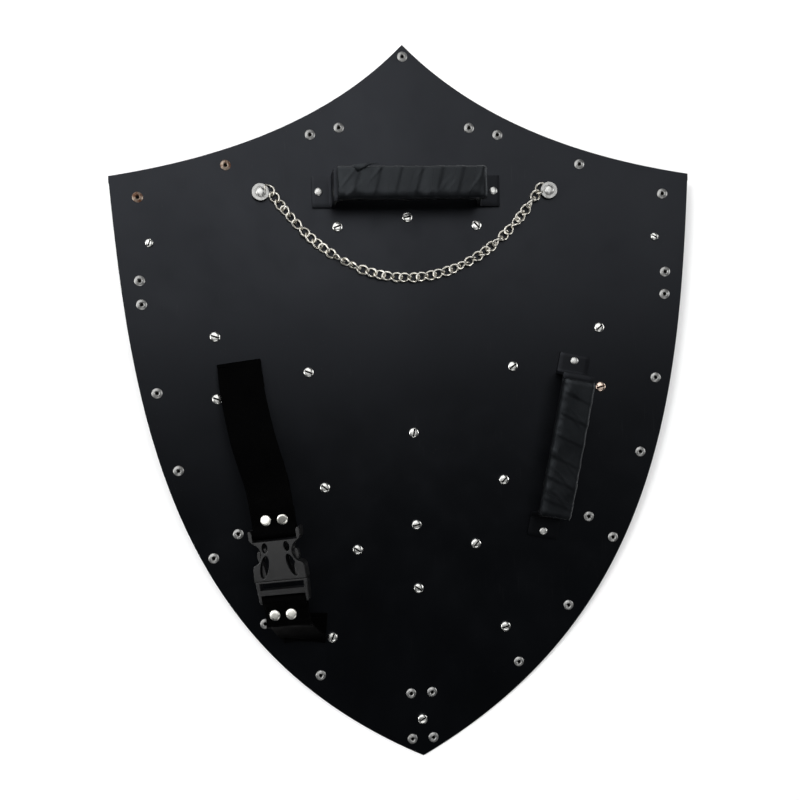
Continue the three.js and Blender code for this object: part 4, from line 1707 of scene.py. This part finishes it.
@dataclass
class TopGrip:
    """The grip across the top of the shield. Sizes are in millimetres."""

    bracket: GripBracket = GripBracket()
    clearance: float = 0.3
    wrap_start: float = -68.5
    wrap_end: float = 71.0
    loose_end: tuple[tuple[float, float], ...] = (
        (-55.0, 15.6), (-50.5, 9.2), (-44.0, 12.6), (-37.0, 16.0), (-29.5, 16.4), (-34.0, 17.2),
        (-42.0, 17.0))

    def grip_frame(self) -> Matrix:
        """The grip's frame, in metres."""
        left, right = middle_of("top_grip_bolt_left"), middle_of("top_grip_bolt_right")
        return Matrix.Translation((0, (left.y + right.y) / 2 * MM, BEND.sheet * MM))

    def build(self, finishes: Finishes) -> None:
        """Makes the bracket and its wrap."""
        grip = self.grip_frame()
        near = BEND.height(self.bracket.legs) + self.clearance
        far = BEND.height(self.bracket.ends) + self.clearance
        bar = self.bracket.make(near, far)
        bar.data.transform(grip)
        hand_over(bar, "top_grip_bar", Slot.GRIP, finishes.grip, ["top_grip_bracket"])
        height = self.bracket.top - self.bracket.thickness / 2
        TapeWrap(self.wrap_start, self.wrap_end, height, seed=3, loose_end=self.loose_end).build(
            grip, "top_grip_tape", finishes, "top_grip_wrap")


@dataclass
class SideGrip:
    """The grip down the right of the shield. Sizes are in millimetres."""

    bracket: GripBracket = GripBracket()
    lift: float = 0.6
    wrap_start: float = -66.0
    wrap_end: float = 66.0

    def grip_frame(self) -> Matrix:
        """The grip's frame, in metres, its X axis running down the shield."""
        high, low = middle_of("side_grip_bolt_high"), middle_of("side_grip_bolt_low")
        ends = [BEND.point(bolt.x, bolt.y) for bolt in (high, low)]
        middle = (ends[0] + ends[1]) / 2
        return in_metres(frame_from(middle, ends[1] - ends[0], BEND.normal(middle.x)))

    def build(self, finishes: Finishes) -> None:
        """Makes the bracket and its wrap."""
        grip = self.grip_frame()
        bar = self.bracket.make(self.lift, self.lift)
        bar.data.transform(grip)
        hand_over(bar, "side_grip_bar", Slot.GRIP, finishes.grip, ["side_grip_bracket"])
        height = self.bracket.top - self.bracket.thickness / 2
        TapeWrap(self.wrap_start, self.wrap_end, height, seed=11, pitch=20.6).build(
            grip, "side_grip_tape", finishes, "side_grip_wrap")


# ---------------------------------------------------------------- arm strap


@dataclass
class Station:
    """One place along a ribbon: its middle, and the direction across it, in millimetres."""

    point: Vector
    across: Vector


def smooth_stations(stations: Sequence[Station], steps: int) -> list[Station]:
    """Runs a smooth curve through the stations, its knots spaced by the root of each run.

    Args:
        stations: The stations to pass through.
        steps: New stations for each run.

    Returns:
        The finer stations.
    """
    points = [station.point for station in stations]
    ends = [2 * points[0] - points[1], *points, 2 * points[-1] - points[-2]]
    found = []
    for index in range(len(points) - 1):
        p = ends[index:index + 4]
        gaps = [max(1e-4, math.sqrt((b - a).length)) for a, b in zip(p, p[1:])]
        lead = gaps[1] * ((p[1] - p[0]) / gaps[0] - (p[2] - p[0]) / (gaps[0] + gaps[1])) + (p[2] - p[1])
        trail = gaps[1] * ((p[3] - p[2]) / gaps[2] - (p[3] - p[1]) / (gaps[1] + gaps[2])) + (p[2] - p[1])
        for step in range(steps):
            t = step / steps
            t2, t3 = t * t, t * t * t
            point = (p[1] * (2 * t3 - 3 * t2 + 1) + lead * (t3 - 2 * t2 + t)
                     + p[2] * (3 * t2 - 2 * t3) + trail * (t3 - t2))
            found.append(Station(point, stations[index].across.lerp(stations[index + 1].across, t)))
    return found + [stations[-1]]


@dataclass
class Ribbon:
    """A strip of webbing along stations. Sizes are in millimetres."""

    stations: list[Station]
    width: float = 41.0
    thickness: float = 1.8
    across_count: int = 16
    crease: float = 0.0
    crease_from: float = 0.0
    crease_to: float = 0.0

    def frame_at(self, index: int) -> tuple[Vector, Vector, Vector]:
        """Middle, direction across and face normal at a station."""
        last = len(self.stations) - 1
        station = self.stations[index]
        along = (self.stations[min(last, index + 1)].point
                 - self.stations[max(0, index - 1)].point).normalized()
        side = (station.across - along * station.across.dot(along)).normalized()
        return station.point, side, along.cross(side)

    def distances(self) -> list[float]:
        """Distance along the ribbon of each station."""
        found = [0.0]
        for a, b in zip(self.stations, self.stations[1:]):
            found.append(found[-1] + (b.point - a.point).length)
        return found

    def dent(self, distance: float, across: float) -> float:
        """Height of the long crease and of the ribbon's slight cupping."""
        if not self.crease_from < distance < self.crease_to:
            return 0.0
        share = (distance - self.crease_from) / (self.crease_to - self.crease_from)
        line = 0.16 + 0.1 * math.sin(share * 4.0)
        ridge = max(0.0, 1 - abs(across - line) / 0.35)
        fade = math.sin(math.pi * share)
        wave = noise.noise(Vector((distance * 0.03, across * 1.6, 4.0)))
        return fade * (self.crease * ridge * ridge + 0.7 * wave)

    def make(self, name: str) -> Piece:
        """Lays the ribbon out and gives it its thickness."""
        last = len(self.stations) - 1
        distances = self.distances()
        strip = begin(bpy.ops.mesh.primitive_grid_add, name, x_subdivisions=last,
                      y_subdivisions=self.across_count, size=2, calc_uvs=True)
        shape = strip.data
        uvs = shape.uv_layers.active.data
        for loop in shape.loops:
            co = shape.vertices[loop.vertex_index].co
            index = round((co.x + 1) / 2 * last)
            uvs[loop.index].uv = (co.y * self.width / 2 * MM, distances[index] * MM)
        frames = [self.frame_at(index) for index in range(last + 1)]
        for vertex in shape.vertices:
            index = round((vertex.co.x + 1) / 2 * last)
            point, side, face = frames[index]
            across = vertex.co.y
            lift = self.dent(distances[index], across)
            vertex.co = (point + side * across * self.width / 2 - face * lift) * MM
        modify(strip, "SOLIDIFY", thickness=self.thickness * MM, offset=0)
        rim(strip, 0.5, segments=2, angle=60)
        smooth(strip, 50)
        return strip


def half_turn(v: float, w: float, radius: float, start: float, end: float) -> list[tuple[float, float]]:
    """Points of an arc about v and w, from one angle to another in degrees."""
    angles = [math.radians(start + (end - start) * i / 6) for i in range(7)]
    return [(v + radius * math.cos(angle), w + radius * math.sin(angle)) for angle in angles]


def stations_in(holder: Matrix, path: Points) -> list[Station]:
    """Stations from points in a frame's own YZ plane, running across its X."""
    across = holder.to_3x3() @ Vector((1, 0, 0))
    return [Station(holder @ Vector((0, v, w)), across.copy()) for v, w in path]


@dataclass(frozen=True)
class CapRivet:
    """A capped rivet through the webbing, in millimetres."""

    head: float = 5.1
    rise: float = 1.4
    shank: float = 1.6
    stack: float = 2.3
    back: float = 0.8

    def make(self, name: str) -> Piece:
        """Turns the rivet round the origin."""
        top, low = self.stack, -self.stack
        profile = [(0.0, low - self.back), (self.head - 0.5, low - self.back), (self.head, low - 0.45),
                   (self.head, low), (self.shank, low), (self.shank, top - 0.25),
                   (self.head - 0.5, top - 0.25),
                   (self.head, top + 0.05), (self.head, top + 0.3)]
        for inward, share in ((0.15, 0.4), (0.5, 0.68), (1.1, 0.86), (2.0, 0.95), (3.4, 0.99)):
            profile.append((self.head - inward, top + 0.3 + (self.rise - 0.3) * share))
        profile.append((0.0, top + self.rise))
        piece = turned(name, profile, steps=32)
        smooth(piece, 50)
        return piece


@dataclass
class Buckle:
    """The side-release buckle in its own frame: Y up the strap, Z out, its seam at 0.

    Sizes are in millimetres.
    """

    thickness: float = 11.0
    frame_thickness: float = 8.0
    prong_thickness: float = 5.0
    seam: float = 0.7
    bar_half: float = 1.6
    bar_at: float = 42.2
    ladder_bar_at: float = -18.8
    edge: float = 0.42
    slot_half: float = 21.1
    through: float = 12.0
    large_face: float = 6.0
    # The windows on each side: middle across and along, half width, half length, and lean.
    windows: tuple[tuple[float, float, float, float, float], ...] = (
        (10.4, 30.6, 2.6, 4.5, 0.1), (13.0, 13.4, 3.8, 10.6, 0.3))
    rib_first: float = -8.9
    rib_pitch: float = 1.35

    def curve(self, start: Sequence[float], handle: Sequence[float], end: Sequence[float],
              steps: int = 7) -> list[tuple[float, float]]:
        """Points of a simple curve, without its start."""
        found = []
        for i in range(1, steps + 1):
            t = i / steps
            a, b, c = (1 - t) ** 2, 2 * t * (1 - t), t * t
            found.append(tuple(a * start[k] + b * handle[k] + c * end[k] for k in (0, 1)))
        return found

    def mirrored(self, half: Points) -> list[tuple[float, float]]:
        """A whole outline from its right-hand half."""
        return list(half) + [(-x, y) for x, y in reversed(half)]

    def socket_outline(self) -> list[tuple[float, float]]:
        """Outline of the socket, with its horns and its waisted sides."""
        half = [(24.6, self.seam), (24.2, 12.0)]
        half += self.curve((24.2, 12.0), (23.6, 15.5), (20.5, 16.0))
        half += self.curve((20.5, 16.0), (15.4, 18.0), (14.6, 25.0))
        half += self.curve((14.6, 25.0), (14.8, 31.5), (19.8, 34.5))
        half += self.curve((19.5, 34.5), (24.0, 36.5), (24.4, 40.0))
        half += [(24.3, 45.5), (23.6, 47.0), (22.4, 47.0), (21.6, 46.0), (21.1, 44.0)]
        return self.mirrored(half)

    def oval(self, x: float, y: float, across: float, along: float, lean: float) -> Piece:
        """A leaning oval cutter through the socket."""
        corners = []
        for i in range(28):
            angle = math.tau * i / 28
            u, v = across * math.cos(angle), along * math.sin(angle)
            corners.append((x + u * math.cos(lean) - v * math.sin(lean),
                            y + u * math.sin(lean) + v * math.cos(lean)))
        return cut_plate("oval", corners, -10, 10)

    def thin_bar(self, piece: Piece, low: float, high: float) -> None:
        """Cuts a webbing bar down to its own thickness, above and below."""
        for side in (-1, 1):
            near, far = side * self.bar_half, side * self.through
            cut(piece, block("bar_cut", (-self.slot_half, low, min(near, far)),
                             (self.slot_half, high, max(near, far))))

    def through_slot(self, piece: Piece, low: float, high: float) -> None:
        """Cuts a slot for the webbing right through."""
        cut(piece, block("webbing_slot", (-self.slot_half, low, -self.through),
                         (self.slot_half, high, self.through)))

    def make_socket(self) -> Piece:
        """Moulds the socket."""
        half = self.thickness / 2
        socket = cut_plate("socket", self.socket_outline(), -half, half)
        for side in (-1, 1):
            for x, y, across, along, lean in self.windows:
                cut(socket, self.oval(side * x, y, across, along, side * lean))
        rim(socket, self.edge, segments=3, angle=50, clamp=False)
        cut(socket, block("cavity", (-18.7, -1.0, -3.2), (18.7, 29.0, 3.2)))
        self.through_slot(socket, 36.5, 40.5)
        self.thin_bar(socket, 40.4, 48.0)
        for level in (half, -half):
            lip = block("mouth_lip", (-23.4, 1.1, level - 0.35), (23.4, 1.9, level + 0.35))
            cut(socket, lip)
        smooth(socket, 40)
        flatten(socket, self.large_face)
        return socket

    def make_prongs(self) -> Piece:
        """Moulds the plug's sprung prongs and its centre pin."""
        half = [(18.0, -1.0), (17.6, 12.0), (18.2, 16.5)]
        half += self.curve((18.2, 16.5), (21.6, 22.5), (18.4, 27.5))
        half += [(16.0, 27.0)]
        half += self.curve((16.0, 27.0), (17.4, 20.0), (14.2, 13.0))
        half += [(13.6, 4.0), (3.4, 4.0), (3.0, 26.0)]
        rise = self.prong_thickness / 2
        prongs = cut_plate("prongs", self.mirrored(half), -rise, rise)
        rim(prongs, 0.5, segments=2, angle=50, clamp=False)
        return prongs

    def make_plug(self) -> Piece:
        """Moulds the plug: a ladder frame with two bars and its prongs."""
        rise = self.frame_thickness / 2
        outline = [(24.6, 0.0), (24.3, -4.0), (23.4, -18.6), (22.6, -20.4),
                   (-22.6, -20.4), (-23.4, -18.6), (-24.3, -4.0), (-24.6, 0.0)]
        plug = cut_plate("plug", outline, -rise, rise)
        rim(plug, self.edge, segments=3, angle=50, clamp=False)
        self.through_slot(plug, -7.9, -1.5)
        self.through_slot(plug, -17.15, -12.65)
        self.thin_bar(plug, -24.4, -17.0)
        for rib in range(3):
            v = self.rib_first - rib * self.rib_pitch
            cut(plug, block("rib_groove", (-20.4, v - 0.22, rise - 0.5), (20.4, v + 0.22, rise + 1)))
        cut(plug, self.make_prongs(), "UNION")
        smooth(plug, 40)
        flatten(plug, self.large_face)
        return plug


@dataclass
class ArmStrap:
    """Two straps of webbing joined by the buckle, their ends folded under at the plate.

    Sizes are in millimetres and degrees.
    """

    webbing_width: float = 41.0
    webbing_thickness: float = 1.8
    gap: float = 0.3
    top_anchor: tuple[float, float, float] = (-167.0, 46.0, 7.0)
    foot_anchor: tuple[float, float, float] = (-114.0, -226.0, -6.0)
    tab: float = 27.0
    fold_radius: float = 2.6
    buckle_at: tuple[float, float, float] = (-131.0, -152.5, 55.0)
    buckle_turn: float = 6.5
    buckle_tilt: float = 18.0
    upper_free: tuple[tuple[float, float, float], ...] = ((-163.5, 20, 24), (-154, -25, 46), (-142, -68, 56))
    lower_free: tuple[tuple[float, float, float], ...] = ((-119.5, -212, 24), (-125.5, -199, 43))
    turn_run: tuple[float, ...] = (23.0, 17.0, 8.0)
    layer: float = 1.1
    rivet_spacing: float = 15.5
    upper_rivets: tuple[float, float] = (1.5, 55.0)
    lower_rivets: tuple[float, float] = (-3.5, -31.5)
    # How each rivet leans, about X and Y.
    upper_leans: tuple[tuple[float, float], ...] = ((0, -3), (11, 6))
    lower_leans: tuple[tuple[float, float], ...] = ((0, -2), (-2, 3))
    # Rows of stitches: distance along the ribbon, start across it and end across it.
    anchor_rows: tuple[tuple[float, float, float], ...] = ((4, -0.85, 0.85), (20, -0.85, 0.85))
    fold_rows: tuple[tuple[float, float, float], ...] = ((178, -0.5, 0.5), (183, -0.5, 0.5))
    stitch_radius: float = 0.42
    stitch_length: float = 2.3
    stitch_pitch: float = 3.1
    buckle: Buckle = field(default_factory=Buckle)
    rivet: CapRivet = CapRivet()

    def __post_init__(self) -> None:
        """Sets up the buckle's frame."""
        turn, tilt = math.radians(self.buckle_turn), math.radians(self.buckle_tilt)
        up = Vector((-math.sin(turn), math.cos(turn), 0))
        across = Vector((math.cos(turn) * math.cos(tilt), math.sin(turn) * math.cos(tilt), math.sin(tilt)))
        x, y, height = self.buckle_at
        self.holder = frame_from(BEND.point(x, y, height), across, across.cross(up))

    def anchor(self, place: Sequence[float], direction: float) -> Matrix:
        """Frame of a strap's end on the plate, in millimetres."""
        x, y, turn = place[0], place[1], math.radians(place[2])
        across = Vector((direction * math.cos(turn), direction * math.sin(turn), 0))
        return frame_from(BEND.point(x, y), across, BEND.normal(x))

    def anchor_path(self) -> list[tuple[float, float]]:
        """The end of a strap, lying on the plate and folded back over itself."""
        height = 3 * self.gap + self.webbing_thickness / 2
        fold = -self.fold_radius - self.webbing_thickness / 2
        flat = [(-self.tab, height), (-self.tab / 2, height), (fold - self.fold_radius, height)]
        return flat + half_turn(fold, height + self.fold_radius, self.fold_radius, -90, 90)

    def bar_turn(self, at: float, direction: float) -> list[tuple[float, float]]:
        """The webbing's turn round a buckle bar: in over the bar and back under it."""
        radius = math.sqrt(2) * self.buckle.bar_half + self.webbing_thickness / 2 + 1.5 * self.gap
        run = [(at + direction * distance, self.layer) for distance in self.turn_run]
        arc = [(at + direction * d, w) for d, w in half_turn(0, 0, radius, 90, 270)]
        return run + arc + [(v, -w) for v, w in reversed(run)]

    def free_stations(self, points: Sequence[Sequence[float]], start: Vector,
                      shares: Sequence[float]) -> list[Station]:
        """Stations where the webbing hangs free, turning towards the buckle."""
        towards = self.holder.to_3x3() @ Vector((1, 0, 0))
        return [Station(Vector(point), start.lerp(towards, share)) for point, share in zip(points, shares)]

    def upper_ribbon(self) -> Ribbon:
        """The strap from the upper anchor to the buckle's socket."""
        holder = self.anchor(self.top_anchor, 1)
        across = holder.to_3x3() @ Vector((1, 0, 0))
        stations = stations_in(holder, self.anchor_path())
        stations += self.free_stations(self.upper_free, across, (0, 0.4, 0.85))
        stations += stations_in(self.holder, self.bar_turn(self.buckle.bar_at, 1))
        return Ribbon(smooth_stations(stations, 7), self.webbing_width, self.webbing_thickness,
                      crease=1.1, crease_from=46.0, crease_to=200.0)

    def lower_ribbon(self) -> Ribbon:
        """The strap from the lower anchor to the buckle's ladder bar."""
        holder = self.anchor(self.foot_anchor, -1)
        across = holder.to_3x3() @ Vector((-1, 0, 0))
        stations = [Station(s.point, -s.across) for s in stations_in(holder, self.anchor_path())]
        stations += self.free_stations(self.lower_free, across, (0.3, 0.6))
        stations += stations_in(self.holder, self.bar_turn(self.buckle.ladder_bar_at, -1))
        return Ribbon(smooth_stations(stations, 7), self.webbing_width, self.webbing_thickness)

    def stitches(self, name: str, ribbon: Ribbon,
                 rows: Sequence[tuple[float, float, float]]) -> Piece:
        """Sews rows of stitches across a ribbon.

        Args:
            name: The stitches' name.
            ribbon: The ribbon.
            rows: Distance along it, and where the row starts and ends across it, from -1 to 1.

        Returns:
            The stitches as one object.
        """
        master = begin(bpy.ops.mesh.primitive_cylinder_add, "stitch", vertices=8,
                       radius=self.stitch_radius * MM, depth=self.stitch_length * MM,
                       rotation=(0, math.pi / 2, 0))
        bake_place()
        rim(master, 0.14, segments=2, angle=50)
        smooth(master, 60)
        distances = ribbon.distances()
        made = []
        for distance, start, end in rows:
            index = min(range(len(distances)), key=lambda i: abs(distances[i] - distance))
            point, side, face = ribbon.frame_at(index)
            count = max(2, round(abs(end - start) * ribbon.width / 2 / self.stitch_pitch))
            for i in range(count + 1):
                across = (start + (end - start) * i / count) * ribbon.width / 2
                for sign in (-1, 1):
                    sunk = ribbon.dent(distances[index], across / ribbon.width * 2)
                    lift = sign * (ribbon.thickness / 2 + 0.05) - sunk
                    place = frame_from(point + side * across + face * lift, side, face)
                    made.append(copy_of(master, "stitch", in_metres(place)))
        throw_away(master)
        return joined(name, made)

    def build_strap(self, finishes: Finishes, name: str, ribbon: Ribbon, rivets: tuple[float, float],
                    leans: Points, rows: Sequence[tuple[float, float, float]]) -> None:
        """Makes one strap with its rivets and stitching.

        Args:
            finishes: The shield's finishes.
            name: The strap's node.
            ribbon: Its ribbon.
            rivets: Middle of its pair of rivets in the buckle's frame.
            leans: How each rivet leans, about X and Y, in degrees.
            rows: Its rows of stitches.
        """
        hand_over(ribbon.make(f"{name}_webbing"), f"{name}_webbing", Slot.WEBBING, finishes.webbing, [name])
        hand_over(self.stitches(f"{name}_stitches", ribbon, rows), f"{name}_stitches", Slot.WEBBING,
                  finishes.thread)
        master = self.rivet.make("cap_rivet")
        for number, side in enumerate((-0.5, 0.5)):
            place = Matrix.Translation((rivets[0] + side * self.rivet_spacing, rivets[1], 0))
            about_x, about_y = (math.radians(angle) for angle in leans[number])
            lean = Matrix.Rotation(about_x, 4, "X") @ Matrix.Rotation(about_y, 4, "Y")
            node = f"{name}_rivet_{number + 1}"
            piece = copy_of(master, f"{node}_cap", in_metres(self.holder @ place @ lean))
            hand_over(piece, f"{node}_cap", Slot.NICKEL, finishes.cap, [node])
        throw_away(master)

    def build(self, finishes: Finishes) -> None:
        """Makes both straps and both halves of the buckle."""
        self.build_strap(finishes, "upper_strap", self.upper_ribbon(), self.upper_rivets,
                         self.upper_leans, self.anchor_rows + self.fold_rows)
        self.build_strap(finishes, "lower_strap", self.lower_ribbon(), self.lower_rivets,
                         self.lower_leans, self.anchor_rows)
        for name, piece in (("buckle_socket", self.buckle.make_socket()),
                            ("buckle_plug", self.buckle.make_plug())):
            piece.data.transform(in_metres(self.holder))
            hand_over(piece, f"{name}_moulding", Slot.BUCKLE, finishes.buckle, [name])


# ---------------------------------------------------------------- the whole shield


def main() -> None:
    """Builds the studio and every sub-assembly in order."""
    logging.basicConfig(level=logging.INFO, format="%(name)s: %(message)s")
    finishes = Finishes()
    studio = Studio()
    studio.set_up(finishes.floor)
    fasteners = Fasteners(finishes)
    Plate().build(fasteners.holes(), finishes)
    fasteners.build()
    for assembly in (Chain(), TopGrip(), SideGrip(), ArmStrap()):
        assembly.build(finishes)
    for group, materials in finishes.lit_groups().items():
        lit = [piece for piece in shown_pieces() if piece.type == "MESH" and piece.active_material in materials]
        studio.light_only(group, lit)


if __name__ == "__main__":
    main()
